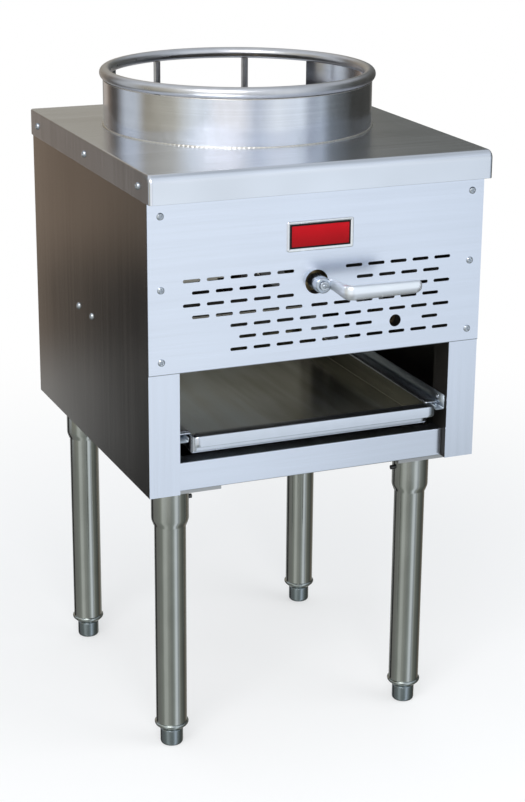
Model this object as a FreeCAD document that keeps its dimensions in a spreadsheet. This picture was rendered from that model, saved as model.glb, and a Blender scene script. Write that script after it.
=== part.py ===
import FreeCAD, Part
import math
import os
from types import SimpleNamespace

import Sketcher

# Wok range: a steel cabinet on four tubular legs, with a raised wok ring over a gas jet
# burner, a slotted front panel with one gas lever, and a drip tray that slides out in front.
# Millimetres, +Z up, front towards -Y, left towards -X. The origin lies on the floor, under
# the middle of the whole range. Every y below is counted from the front panel's face.

DRIVING_SIZES = [
    ("cap_width", 457.2, "width of the cap, the widest sheet of the range"),
    ("cap_front", 17.0, "how far the cap overhangs the front panel"),
    ("cap_height", 35.0, "height of the cap's turned-down edges"),
    ("cap_sheet", 2.0, "thickness of the cap's sheet"),
    ("cap_nose", 11.0, "bend radius of the cap's front edge"),
    ("cap_edge", 2.5, "bend radius of the cap's other edges"),
    ("cap_fit", 0.6, "clearance of the cap round the cabinet"),
    ("deck_height", 792.5, "top of the cap above the floor"),
    ("body_depth", 475.0, "front panel face to back panel face"),
    ("base_height", 383.0, "underside of the cabinet above the floor"),
    ("sheet_wall", 1.2, "thickness of the cabinet's sheets"),
    ("seat_gap", 0.3, "clearance between pieces that seat on each other"),
    ("overcut", 1.0, "how far a cut runs past the face that it opens"),
    ("side_flange", 15.0, "width of the side panels' top flanges"),
    ("post_width", 40.5, "width of the corner posts"),
    ("post_return", 40.0, "depth of the corner posts' inner legs"),
    ("post_outer", 20.0, "depth of the corner posts' outer legs"),
    ("post_head", 5.0, "how far posts and panels stop below the cap's sheet"),
    ("rail_sheet", 1.5, "thickness of the base rails"),
    ("rail_height", 37.5, "height of the front and rear rails"),
    ("rail_set", 13.0, "how far the rails lie behind the posts' faces"),
    ("rail_top", 25.0, "width of the rails' top flanges"),
    ("rail_foot", 32.0, "width of the rails' bottom flanges"),
    ("base_rail_height", 30.0, "height of the side base rails"),
    ("panel_bottom", 542.5, "lower edge of the front panel above the floor"),
    ("panel_hem", 12.0, "depth of the hem along the front panel's lower edge"),
    ("slot_length", 22.7, "length of a vent slot"),
    ("slot_height", 4.2, "height of a vent slot"),
    ("slot_pitch", 30.9, "distance between slots in a row"),
    ("slot_row", 15.3, "distance between rows of slots"),
    ("slot_rise", 23.3, "lowest row of slots above the front panel's lower edge"),
    ("slot_stagger", 34.7, "first slot left of the middle in the staggered rows"),
    ("ring_rear", 200.0, "axis of ring and burner ahead of the back face"),
    ("ring_outer", 179.0, "outer radius of the wok ring's wall"),
    ("ring_sheet", 2.5, "thickness of the wok ring's wall"),
    ("ring_rise", 68.5, "centre of the rim tube above the cap"),
    ("rim_radius", 176.0, "radius of the rim tube's centre line"),
    ("rim_tube", 7.5, "radius of the rim tube itself"),
    ("window_angle", 102.6, "angle of the open rear window in the ring's wall"),
    ("ring_turn", 3.7, "angle by which the window is turned towards the right"),
    ("rod_angle", 43.0, "angle between the two rods in the window"),
    ("rod_radius", 4.75, "radius of the rods in the window"),
    ("deck_hole", 170.0, "radius of the hole in the cap"),
    ("chamber_radius", 165.0, "outer radius of the combustion chamber"),
    ("chamber_sheet", 1.5, "thickness of the combustion chamber's sheet"),
    ("chamber_drop", 100.0, "height of the combustion chamber"),
    ("chamber_flange", 20.0, "width of the chamber's top flange"),
    ("burner_radius", 95.0, "radius of the burner casting's bowl"),
    ("burner_drop", 80.5, "top of the burner casting below the cap's top"),
    ("burner_rim", 12.0, "height of the bowl's straight rim"),
    ("burner_bowl", 45.0, "depth of the bowl's sloping side"),
    ("burner_bevel", 2.0, "bevel round the top of the bowl"),
    ("neck_radius", 27.0, "radius of the neck and of the mixer's closed end"),
    ("mixer_front", 110.0, "mouth of the mixer tube behind the front face"),
    ("mixer_mouth", 33.0, "radius of the mixer's bell mouth"),
    ("mixer_bell", 25.0, "length of the bell's taper"),
    ("mixer_throat", 21.0, "outer radius of the mixer's throat"),
    ("mixer_wall", 4.0, "wall of the mixer tube"),
    ("tip_outer_ring", 72.0, "radius of the outer ring of jets"),
    ("tip_inner_ring", 35.0, "radius of the inner ring of jets"),
    ("tip_radius", 5.0, "radius of a jet"),
    ("tip_height", 26.0, "height of a jet above the casting"),
    ("tip_hex", 8.0, "corner radius of a jet's hexagon"),
    ("tip_hex_height", 8.0, "height of a jet's hexagon"),
    ("tip_bore", 1.6, "radius of a jet's outlet"),
    ("bar_drop", 66.0, "top of the burner crossbar below the mixer's axis"),
    ("bar_ahead", 23.6, "middle of the crossbar ahead of the burner's axis"),
    ("bar_width", 70.0, "width of the crossbar"),
    ("bar_depth", 29.0, "height of the crossbar's sides"),
    ("bar_screw_space", 56.0, "distance between the crossbar's two screws"),
    ("bar_screw_drop", 15.0, "crossbar screws below its top"),
    ("foot_pad_width", 60.0, "width of the burner casting's foot"),
    ("foot_pad_depth", 40.0, "depth of the burner casting's foot"),
    ("foot_pad_height", 6.0, "thickness of the burner casting's foot"),
    ("foot_web", 24.0, "width of the web between foot and mixer"),
    ("valve_rise", 98.5, "valve, lever and mixer axis above the front panel's lower edge"),
    ("valve_left", 4.4, "valve axis left of the middle"),
    ("lever_hole", 15.5, "radius of the hole for the valve stem"),
    ("stem_radius", 6.5, "radius of the valve stem"),
    ("stem_out", 21.7, "front end of the stem ahead of the front face"),
    ("stem_in", 34.0, "rear end of the stem behind the front face"),
    ("stem_fit", 0.3, "radial clearance of the stem in the valve"),
    ("valve_front", 22.0, "front of the valve body behind the front face"),
    ("valve_rear", 62.0, "rear of the valve body behind the front face"),
    ("valve_radius", 17.0, "radius of the valve body"),
    ("inlet_boss", 18.0, "radius of the valve's inlet boss"),
    ("inlet_boss_out", 34.0, "length of the valve's inlet boss from the axis"),
    ("outlet_boss", 11.0, "radius of the valve's outlet boss"),
    ("outlet_boss_length", 14.0, "length of the valve's outlet boss"),
    ("hood_radius", 8.0, "radius of the gas orifice's hood"),
    ("hood_length", 35.0, "length of the gas orifice"),
    ("hood_feed", 13.5, "depth of the feed in the gas orifice before its bore"),
    ("hood_hex", 10.5, "corner radius of the orifice's hexagon"),
    ("hood_hex_length", 9.0, "length of the orifice's hexagon"),
    ("orifice_bore", 1.4, "radius of the gas orifice"),
    ("shutter_sheet", 2.0, "thickness of the air shutter"),
    ("shutter_port", 6.0, "radius of the air shutter's ports"),
    ("shutter_port_ring", 21.0, "radius of the circle of ports"),
    ("pipe_radius", 13.35, "outer radius of the gas pipe"),
    ("pipe_wall", 2.9, "wall of the gas pipe"),
    ("pipe_fit", 0.1, "clearance of a pipe in its socket"),
    ("pipe_inset", 20.5, "rear gas pipe from the inner side of the right post"),
    ("elbow_radius", 18.5, "outer radius of the pipe elbow"),
    ("elbow_arm", 30.0, "length of the elbow's arms from its corner"),
    ("elbow_socket", 13.0, "depth of the elbow's sockets"),
    ("inlet_out", 28.0, "rear gas inlet behind the back panel"),
    ("inlet_thread", 20.0, "length of the inlet pipe's threaded end"),
    ("inlet_thread_radius", 13.1, "radius of the inlet pipe's threaded end"),
    ("lever_hub", 10.2, "outer radius of the lever's hub"),
    ("lever_hub_back", 6.0, "rear of the lever's hub behind the front face"),
    ("lever_hub_front", 22.0, "front of the lever's hub ahead of the front face"),
    ("lever_hub_bevel", 1.5, "bevel round the front of the lever's hub"),
    ("lever_elbow", 4.0, "rounding of the corner between the lever's arm and grip"),
    ("neck_step", 2.0, "how far the lever's neck lies behind the hub's front"),
    ("arm_back", 8.0, "rear of the lever's arm ahead of the front face"),
    ("arm_inner", 9.5, "inner side of the lever's arm from the stem's axis"),
    ("arm_thick", 8.0, "thickness of the lever's arm"),
    ("arm_root_height", 14.0, "height of the arm at the hub"),
    ("grip_out", 65.0, "middle of the grip ahead of the front face"),
    ("grip_thick", 12.0, "thickness of the grip from front to back"),
    ("grip_height", 18.6, "height of the grip at the arm"),
    ("grip_end_height", 16.0, "height of the grip at its free end"),
    ("grip_reach", 112.6, "free end of the grip from the stem's axis"),
    ("grip_nose", 5.0, "how far the grip's end corners are cut"),
    ("grip_chamfer", 3.2, "chamfer along the grip"),
    ("washer_radius", 5.8, "radius of the lever screw's washer face"),
    ("washer_thick", 2.4, "thickness of the lever screw's washer face"),
    ("washer_bevel", 1.0, "bevel round the lever screw's washer face"),
    ("lever_screw_rise", 1.5, "height of the lever screw's head"),
    ("lever_screw_head", 3.0, "radius of the lever screw's head"),
    ("lever_screw_shank", 2.4, "radius of the lever screw's shank"),
    ("lever_screw_length", 14.0, "length of the lever screw's shank"),
    ("pilot_right", 105.7, "pilot hole right of the middle"),
    ("pilot_drop", 61.2, "pilot hole below the lever's axis"),
    ("pilot_hole", 8.0, "radius of the pilot hole"),
    ("pilot_valve_radius", 7.0, "radius of the pilot valve"),
    ("pilot_valve_front", 14.0, "front of the pilot valve behind the front face"),
    ("pilot_valve_rear", 52.0, "rear of the pilot valve behind the front face"),
    ("pilot_slot", 4.0, "depth of the pilot valve's adjusting hole"),
    ("pilot_boss_wall", 2.0, "wall of the pilot valve's boss round its tube"),
    ("pilot_boss_out", 11.0, "top of the pilot valve's boss above its axis"),
    ("pilot_tube_radius", 3.0, "radius of the pilot tubes"),
    ("pilot_bend", 30.0, "bend radius of the pilot tube"),
    ("pilot_ahead", 13.0, "pilot burner ahead of the burner's axis"),
    ("pilot_burner_drop", 12.0, "underside of the pilot burner below the casting's top"),
    ("pilot_burner_radius", 6.0, "radius of the pilot burner"),
    ("pilot_burner_height", 24.0, "height of the pilot burner"),
    ("badge_width", 89.0, "width of the badge frame"),
    ("badge_height", 38.0, "height of the badge frame"),
    ("badge_thick", 3.0, "thickness of the badge frame"),
    ("badge_border", 3.5, "width of the badge frame's border"),
    ("badge_recess", 1.8, "depth of the recess in the badge frame"),
    ("badge_plate_thick", 1.0, "thickness of the badge plate"),
    ("badge_drop", 84.5, "middle of the badge below the front panel's top"),
    ("badge_left", 1.0, "middle of the badge left of the middle"),
    ("badge_corner", 2.0, "corner radius of the badge frame"),
    ("screw_head", 4.6, "radius of a panel screw's head"),
    ("screw_rise", 2.4, "height of a panel screw's head"),
    ("pan_flat", 0.55, "flat top of a screw's head, as a share of its radius"),
    ("pan_shoulder", 0.92, "shoulder of a screw's head, as a share of its radius"),
    ("pan_shoulder_rise", 0.45, "height of the shoulder, as a share of the head's"),
    ("screw_shank", 2.3, "radius of a panel screw's shank"),
    ("screw_length", 8.0, "length of a panel screw's shank"),
    ("panel_screw_inset", 16.5, "panel screws from the cabinet's sides"),
    ("panel_screw_rise", 16.0, "lowest panel screws above the panel's lower edge"),
    ("panel_screw_drop", 45.5, "highest panel screws below the panel's top"),
    ("cap_screw_drop", 19.1, "cap screws below the top of the cap"),
    ("cap_screw_front", 25.1, "first cap screw behind the front face"),
    ("cap_screw_rear", 31.3, "last cap screw ahead of the back face"),
    ("back_screw_rise", 47.0, "lowest back panel screws above the cabinet's underside"),
    ("back_screw_drop", 55.5, "highest back panel screws below the panel's top"),
    ("tray_play", 6.5, "gap between the drip tray's pan and a runner"),
    ("tray_front", 17.5, "front wall of the tray's pan behind the front face"),
    ("tray_rear", 32.5, "rear of the tray's pan ahead of the back face"),
    ("tray_rise", 47.0, "underside of the tray above the cabinet's underside"),
    ("tray_depth", 27.0, "height of the tray's pan"),
    ("tray_flange", 16.0, "width of the tray's side flanges"),
    ("tray_hem", 6.5, "height of the hems that run in the runners"),
    ("tray_lip", 14.0, "height of the tray's front lip"),
    ("tray_lip_corner", 4.0, "corner radius of the tray's front lip"),
    ("tray_lip_side", 1.5, "how far the front lip passes the pan on each side"),
    ("tray_bend", 3.0, "bend radius round the tray's floor"),
    ("runner_width", 13.7, "width of a tray runner"),
    ("runner_height", 19.0, "height of a runner's web"),
    ("runner_lip", 6.0, "height of a runner's inner lip"),
    ("runner_front", 7.0, "front end of a runner behind the front face"),
    ("runner_short", 9.0, "rear end of a runner ahead of the back face"),
    ("runner_bend", 2.5, "outer bend radius of a runner"),
    ("runner_screw_inset", 18.0, "runner screws from the runner's ends"),
    ("runner_screw_drop", 6.0, "runner screws below the web's top"),
    ("runner_screw_head", 3.5, "radius of a runner screw's head"),
    ("runner_screw_rise", 1.4, "height of a runner screw's head"),
    ("leg_inset", 53.0, "leg axes from the cabinet's sides"),
    ("leg_front", 75.0, "front leg axes behind the front face"),
    ("leg_rear_inset", 35.0, "rear leg axes ahead of the back face"),
    ("plate_half", 48.0, "half the width of a leg plate"),
    ("plate_ahead", 59.0, "leg plate ahead of the leg axis"),
    ("plate_behind", 35.0, "leg plate behind the leg axis"),
    ("plate_thick", 5.0, "thickness of a leg plate"),
    ("socket_radius", 24.5, "outer radius of a leg socket"),
    ("socket_length", 62.0, "length of a leg socket"),
    ("socket_taper", 7.0, "length of a socket's taper"),
    ("socket_mouth", 1.1, "wall of a socket at its mouth"),
    ("socket_crown", 4.0, "thickness of a socket's closed end"),
    ("socket_fit", 0.15, "radial clearance of the tube in its socket"),
    ("leg_radius", 20.65, "outer radius of a leg tube"),
    ("leg_wall", 1.2, "wall of a leg tube"),
    ("leg_screw_drop", 28.0, "socket screws below the leg plates"),
    ("leg_screw_radius", 3.0, "radius of a socket screw"),
    ("leg_screw_out", 5.0, "how far a socket screw stands out of its socket"),
    ("collar_radius", 22.7, "radius of a foot collar"),
    ("collar_band", 3.5, "height of a foot collar's band"),
    ("collar_cone", 7.0, "height of a foot collar's cone"),
    ("collar_nose", 16.0, "radius at the lower end of the cone"),
    ("collar_plug", 20.0, "length of a collar's plug inside the tube"),
    ("bullet_radius", 15.2, "radius of a foot"),
    ("bullet_height", 23.0, "height of a foot below its collar"),
    ("bullet_round", 5.0, "rounding of a foot's lower edge"),
    ("thread_radius", 8.0, "radius of a foot's threaded stem"),
    ("thread_length", 48.0, "length of a foot's threaded stem"),
    ("thread_fit", 0.35, "radial clearance of the stem in its collar"),
]


class Size:
    """A size worked out from the sheet: its number, and the expression that keeps it."""

    def __init__(self, number, text):
        self.number = number
        self.text = text

    def joined(self, other, sign, number, flipped=False):
        other_text = other.text if isinstance(other, Size) else repr(float(other))
        first, second = (other_text, self.text) if flipped else (self.text, other_text)
        return Size(number, f"({first} {sign} {second})")

    def __add__(self, other):
        return self.joined(other, "+", self.number + number_of(other))

    def __radd__(self, other):
        return self.joined(other, "+", self.number + number_of(other), flipped=True)

    def __sub__(self, other):
        return self.joined(other, "-", self.number - number_of(other))

    def __rsub__(self, other):
        return self.joined(other, "-", number_of(other) - self.number, flipped=True)

    def __mul__(self, other):
        return self.joined(other, "*", self.number * number_of(other))

    def __rmul__(self, other):
        return self.joined(other, "*", self.number * number_of(other), flipped=True)

    def __truediv__(self, other):
        return self.joined(other, "/", self.number / number_of(other))

    def __neg__(self):
        return self * -1


def number_of(value):
    """The plain number behind a size or a number."""
    return value.number if isinstance(value, Size) else float(value)


def text_of(value):
    """The expression behind a size or a number."""
    return value.text if isinstance(value, Size) else repr(float(value))


def cosine(angle):
    return Size(math.cos(math.radians(number_of(angle))), f"cos({text_of(angle)})")


def sine(angle):
    return Size(math.sin(math.radians(number_of(angle))), f"sin({text_of(angle)})")


doc = FreeCAD.newDocument("wok_range")
sheet = doc.addObject("Spreadsheet::Sheet", "Sizes")
for row, (alias, value, meaning) in enumerate(DRIVING_SIZES, start=1):
    sheet.set(f"A{row}", meaning)
    sheet.set(f"B{row}", repr(value))
    sheet.setAlias(f"B{row}", alias)
doc.recompute()
s = SimpleNamespace(**{alias: Size(value, "Sizes." + alias) for alias, value, meaning in DRIVING_SIZES})

sub_parts = []

# Sizes that several pieces share.
zero = Size(0.0, "0.0")
half_body = s.cap_width / 2 - s.cap_sheet - s.cap_fit
front_y = (s.grip_out + s.grip_thick / 2 - s.body_depth - s.inlet_out) / 2
deck_under = s.deck_height - s.cap_sheet
panel_top = deck_under - s.post_head
post_face = s.sheet_wall + s.seat_gap
post_inner = half_body - s.post_width
wall_inner = half_body - s.sheet_wall - s.seat_gap
plate_under = s.base_height - s.plate_thick
collar_under = s.bullet_height + s.seat_gap
collar_seat = collar_under + s.collar_cone + s.collar_band
screw_hole = s.screw_shank + s.seat_gap

# Places that follow from those sizes: where pieces line up, seat or pass through.
s.ring_back = s.body_depth - s.ring_rear
s.burner_top = s.deck_height - s.burner_drop
s.valve_height = s.panel_bottom + s.valve_rise
s.bar_top = s.valve_height - s.bar_drop
s.bar_centre = s.ring_back - s.bar_ahead
s.slot_bottom = s.panel_bottom + s.slot_rise
s.pipe_right = post_inner - s.pipe_inset
s.pilot_height = s.valve_height - s.pilot_drop
s.pilot_back = s.ring_back - s.pilot_ahead
s.pilot_burner_bottom = s.burner_top - s.pilot_burner_drop
s.badge_centre = panel_top - s.badge_drop
s.panel_screw_side = half_body - s.panel_screw_inset
s.panel_screw_bottom = s.panel_bottom + s.panel_screw_rise
s.panel_screw_pitch = (panel_top - s.panel_screw_drop - s.panel_screw_bottom) / 2
s.cap_screw_pitch = (s.body_depth - s.cap_screw_rear - s.cap_screw_front) / 2
s.back_screw_bottom = s.base_height + s.back_screw_rise
s.back_screw_pitch = (panel_top - s.back_screw_drop - s.back_screw_bottom) / 2
s.tray_half = post_inner - s.seat_gap - s.runner_width - s.tray_play
s.tray_length = s.body_depth - s.tray_rear - s.tray_front
s.tray_bottom = s.base_height + s.tray_rise
s.runner_rear = s.body_depth - s.runner_short
s.leg_side = half_body - s.leg_inset
s.leg_rear = s.body_depth - s.leg_rear_inset
s.leg_screw_height = plate_under - s.leg_screw_drop


def bind(item, path, value):
    """Keep one property of an object at a size."""
    item.setExpression(path, text_of(value))


def sub_part(label, x=0, y=0, z=0, turn=None):
    """A named piece as a body of its own, placed from the middle of the front face."""
    body = doc.addObject("PartDesign::Body", label)
    body.Label = label
    body.AllowCompound = True
    bind(body, ".Placement.Base.x", x)
    bind(body, ".Placement.Base.y", front_y + y)
    bind(body, ".Placement.Base.z", z)
    if turn is not None:
        body.Placement.Rotation = FreeCAD.Rotation(FreeCAD.Vector(0, 0, 1), number_of(turn))
        bind(body, ".Placement.Rotation.Angle", turn)
    sub_parts.append(body)
    return body


def origin_feature(body, role):
    """The plane or axis of a body's own origin that has this role."""
    return next(item for item in body.Origin.OriginFeatures if item.Role == role)


# Coordinates of an outline: XY gives x and y, XZ gives x and z, YZ gives y and z. The XZ
# plane faces the front, so its offset counts against +Y.
OFFSET_SIGN = {"XY": 1, "XZ": -1, "YZ": 1}


def new_sketch(body, plane, offset):
    sketch = body.newObject("Sketcher::SketchObject", body.Label + "_outline")
    sketch.AttachmentSupport = [(origin_feature(body, plane + "_Plane"), "")]
    sketch.MapMode = "FlatFace"
    bind(sketch, ".AttachmentOffset.Base.z", OFFSET_SIGN[plane] * offset)
    return sketch


def hold(sketch, kind, *where_and_value):
    """Add one dimension to a sketch and keep it at its size."""
    *where, value = where_and_value
    index = sketch.addConstraint(Sketcher.Constraint(kind, *where, number_of(value)))
    bind(sketch, f"Constraints[{index}]", value)


def draw_polygon(sketch, corners):
    """A closed outline of straight lines through the given corners."""
    points = [FreeCAD.Vector(number_of(across), number_of(along), 0) for across, along in corners]
    first = sketch.GeometryCount
    count = len(points)
    for index in range(count):
        sketch.addGeometry(Part.LineSegment(points[index], points[(index + 1) % count]))
    for index, (across, along) in enumerate(corners):
        line, following = first + index, first + (index + 1) % count
        sketch.addConstraint(Sketcher.Constraint("Coincident", line, 2, following, 1))
        hold(sketch, "DistanceX", line, 1, across)
        hold(sketch, "DistanceY", line, 1, along)


def draw_circle(sketch, across, along, radius):
    centre = FreeCAD.Vector(number_of(across), number_of(along), 0)
    circle = sketch.addGeometry(Part.Circle(centre, FreeCAD.Vector(0, 0, 1), number_of(radius)))
    hold(sketch, "DistanceX", circle, 3, across)
    hold(sketch, "DistanceY", circle, 3, along)
    hold(sketch, "Radius", circle, radius)


def draw_slot(sketch, across, along, length, height):
    """A level slot with round ends about the given centre."""
    up = FreeCAD.Vector(0, 0, 1)
    radius = number_of(height) / 2
    reach = (length - height) / 2
    ends = []
    for side, start in ((-1, math.pi / 2), (1, -math.pi / 2)):
        centre = FreeCAD.Vector(number_of(across + side * reach), number_of(along), 0)
        arc = sketch.addGeometry(Part.ArcOfCircle(Part.Circle(centre, up, radius), start, start + math.pi))
        hold(sketch, "DistanceX", arc, 3, across + side * reach)
        hold(sketch, "DistanceY", arc, 3, along)
        ends.append((arc, centre))
    (left, left_centre), (right, right_centre) = ends
    rise = FreeCAD.Vector(0, radius, 0)
    top = sketch.addGeometry(Part.LineSegment(left_centre + rise, right_centre + rise))
    bottom = sketch.addGeometry(Part.LineSegment(left_centre - rise, right_centre - rise))
    joins = ((left, 1, top, 1), (right, 2, top, 2), (left, 2, bottom, 1), (right, 1, bottom, 2))
    for arc, end, line, point in joins:
        sketch.addConstraint(Sketcher.Constraint("Tangent", arc, end, line, point))
    hold(sketch, "Radius", left, height / 2)


def rectangle(left, right, low, high):
    """Corners of a rectangle, for draw_polygon."""
    return [(left, low), (right, low), (right, high), (left, high)]


def hexagon(across, radius):
    """Corners of a hexagon about a point on the horizontal axis, for draw_polygon."""
    return [(across + radius * cosine(60 * corner), radius * sine(60 * corner)) for corner in range(6)]


def draw(sketch, outlines):
    """Draw polygons, given as lists of corners, and circles, given as (x, y, radius)."""
    for outline in outlines:
        if isinstance(outline, tuple):
            draw_circle(sketch, *outline)
        else:
            draw_polygon(sketch, outline)


def pad(body, plane, low, high, *outlines):
    """Add material between two positions along a plane's axis, inside the outlines."""
    sketch = new_sketch(body, plane, high if plane == "XZ" else low)
    draw(sketch, outlines)
    feature = body.newObject("PartDesign::Pad", body.Label + "_pad")
    feature.Profile = sketch
    bind(feature, "Length", high - low)
    return feature


def cut(body, plane, low, high, *outlines):
    """Take material away between two positions along a plane's axis."""
    sketch = new_sketch(body, plane, low if plane == "XZ" else high)
    draw(sketch, outlines)
    return pocket(body, sketch, high - low)


def through(body, plane, low, high, *outlines):
    """Cut right through the material between two positions along a plane's axis."""
    return cut(body, plane, low - s.overcut, high + s.overcut, *outlines)


def pocket(body, sketch, depth):
    feature = body.newObject("PartDesign::Pocket", body.Label + "_cut")
    feature.Refine = False
    feature.Profile = sketch
    bind(feature, "Length", depth)
    return feature


def turned(body, plane, axis, corners, angle=360):
    """A turned piece: an outline in a plane, swept about one of the body's axes."""
    sketch = new_sketch(body, plane, 0)
    draw(sketch, [corners])
    feature = body.newObject("PartDesign::Revolution", body.Label + "_turn")
    feature.Profile = sketch
    feature.ReferenceAxis = (origin_feature(body, axis + "_Axis"), [""])
    bind(feature, "Angle", angle)
    return feature


def row_of(body, axis, length, count, features=None):
    """Copies of features along an axis: one step of repeat, or a pattern of its own."""
    feature = body.newObject("PartDesign::LinearPattern", body.Label + "_row")
    if features is not None:
        feature.Originals = features
    feature.Direction = (origin_feature(body, axis + "_Axis"), [""])
    bind(feature, "Length", length)
    feature.Occurrences = count
    return feature


def mirrored(body, plane):
    feature = body.newObject("PartDesign::Mirrored", body.Label + "_mirror")
    feature.MirrorPlane = (origin_feature(body, plane + "_Plane"), [""])
    return feature


def circle_of(body, count, features):
    """Copies of features round the body's upright axis."""
    feature = body.newObject("PartDesign::PolarPattern", body.Label + "_ring")
    feature.Originals = features
    feature.Axis = (origin_feature(body, "Z_Axis"), [""])
    feature.Angle = 360
    feature.Occurrences = count
    body.Tip = feature
    return feature


def repeat(body, features, *steps):
    """Copy features by several steps, each a row or a mirror, one after the other."""
    feature = body.newObject("PartDesign::MultiTransform", body.Label + "_copies")
    feature.Refine = False
    feature.Originals = features
    feature.Transformations = list(steps)
    body.Tip = feature
    return feature


def edges_where(feature, wanted):
    """Names of the edges whose lowest and highest corners satisfy a test."""
    doc.recompute()
    names = []
    for index, edge in enumerate(feature.Shape.Edges, start=1):
        box = edge.BoundBox
        low = FreeCAD.Vector(box.XMin, box.YMin, box.ZMin)
        high = FreeCAD.Vector(box.XMax, box.YMax, box.ZMax)
        if wanted(low, high):
            names.append(f"Edge{index}")
    return names


def near(first, second):
    return abs(number_of(first) - number_of(second)) < 0.01


def fillet(body, feature, radius, wanted):
    result = body.newObject("PartDesign::Fillet", body.Label + "_fillet")
    result.Base = (feature, edges_where(feature, wanted))
    bind(result, "Radius", radius)
    return result


def chamfer(body, feature, size, wanted):
    result = body.newObject("PartDesign::Chamfer", body.Label + "_chamfer")
    result.Base = (feature, edges_where(feature, wanted))
    bind(result, "Size", size)
    return result


def folded_shell(body, feature, open_side, wall):
    """Hollow a block to a folded sheet, open at its lowest (min) or highest (max) face."""
    doc.recompute()
    faces = feature.Shape.Faces
    mouth = open_side(range(len(faces)), key=lambda index: faces[index].CenterOfMass.z)
    result = body.newObject("PartDesign::Thickness", body.Label + "_shell")
    result.Base = (feature, [f"Face{mouth + 1}"])
    result.Mode = "Skin"
    result.Join = "Arc"
    result.Reversed = True
    bind(result, "Value", wall)
    return result


def top_cap():
    """The cap: one folded sheet with a bullnose front edge, over the whole cabinet."""
    body = sub_part("top_cap", z=s.deck_height)
    half = s.cap_width / 2
    rear = s.body_depth + s.cap_fit + s.cap_sheet
    block = pad(body, "XY", -s.cap_height, zero, rectangle(-half, half, -s.cap_front, rear))
    nose = fillet(body, block, s.cap_nose,
                  lambda low, high: near(high.y, -s.cap_front) and near(low.z, 0))
    shell = folded_shell(body, nose, min, s.cap_sheet)
    fillet(body, shell, s.cap_edge,
           lambda low, high: near(low.z, 0) and (high.x - low.x < half.number or near(low.y, rear)))
    cut(body, "XY", -s.cap_sheet - s.cap_edge, s.cap_edge, (0, s.ring_back, s.deck_hole))
    hole = through(body, "YZ", -half, half, (s.cap_screw_front, -s.cap_screw_drop, screw_hole))
    repeat(body, [hole], row_of(body, "Y", 2 * s.cap_screw_pitch, 3))


def wok_ring():
    """The wok ring: a rolled wall with an open rear window, a round rim and two rods."""
    wall_inner_radius = s.ring_outer - s.ring_sheet
    wall_top = s.ring_rise - s.rim_tube - s.seat_gap
    wall = sub_part("wok_ring_wall", y=s.ring_back, z=s.deck_height,
                    turn=90 - s.ring_turn + s.window_angle / 2)
    turned(wall, "XZ", "Z", rectangle(wall_inner_radius, s.ring_outer, 0, wall_top), 360 - s.window_angle)

    rim = sub_part("wok_ring_rim", y=s.ring_back, z=s.deck_height + s.ring_rise)
    sketch = new_sketch(rim, "XZ", 0)
    draw(sketch, [(s.rim_radius, 0, s.rim_tube)])
    hoop = rim.newObject("PartDesign::Revolution", "wok_ring_rim_turn")
    hoop.Profile = sketch
    hoop.ReferenceAxis = (origin_feature(rim, "Z_Axis"), [""])
    hoop.Angle = 360

    rods = sub_part("wok_ring_posts", y=s.ring_back, z=s.deck_height)
    outlines = []
    for side in (-1, 1):
        angle = s.ring_turn + side * s.rod_angle / 2
        outlines.append((s.rim_radius * sine(angle), s.rim_radius * cosine(angle), s.rod_radius))
    pad(rods, "XY", zero, wall_top, *outlines)


def bar_screw_holes():
    """The two holes at each end of the burner crossbar, in its tab and in the side panel."""
    height = s.bar_top - s.bar_screw_drop
    return [(s.bar_centre + end * s.bar_screw_space / 2, height, screw_hole) for end in (-1, 1)]


def side_panels():
    """The side panels: plain sheets with a flange under the cap."""
    top = deck_under - s.cap_fit
    for label, side in (("left_side_panel", -1), ("right_side_panel", 1)):
        body = sub_part(label)
        inner = half_body - s.sheet_wall
        section = [(side * half_body, s.base_height), (side * half_body, top),
                   (side * (half_body - s.side_flange), top),
                   (side * (half_body - s.side_flange), top - s.sheet_wall),
                   (side * inner, top - s.sheet_wall), (side * inner, s.base_height)]
        front = post_face + s.sheet_wall + s.seat_gap
        pad(body, "XZ", front, s.body_depth, section)
        low, high = (-half_body, -inner) if side < 0 else (inner, half_body)
        hole = through(body, "YZ", low, high,
                       (s.cap_screw_front, s.deck_height - s.cap_screw_drop, screw_hole))
        repeat(body, [hole], row_of(body, "Y", 2 * s.cap_screw_pitch, 3))
        through(body, "YZ", low, high, *bar_screw_holes())


def back_panel():
    """The back panel, with the hole for the gas inlet."""
    body = sub_part("back_panel")
    pad(body, "XZ", s.body_depth - s.sheet_wall, s.body_depth,
        rectangle(-wall_inner, wall_inner, s.base_height, panel_top))
    through(body, "XZ", s.body_depth - s.sheet_wall, s.body_depth,
            (s.pipe_right, s.valve_height, s.pipe_radius + s.seat_gap))
    hole = through(body, "XZ", s.body_depth - s.sheet_wall, s.body_depth,
                   (-s.panel_screw_side, s.back_screw_bottom, screw_hole))
    repeat(body, [hole], row_of(body, "X", 2 * s.panel_screw_side, 2),
           row_of(body, "Z", 2 * s.back_screw_pitch, 3))


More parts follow.
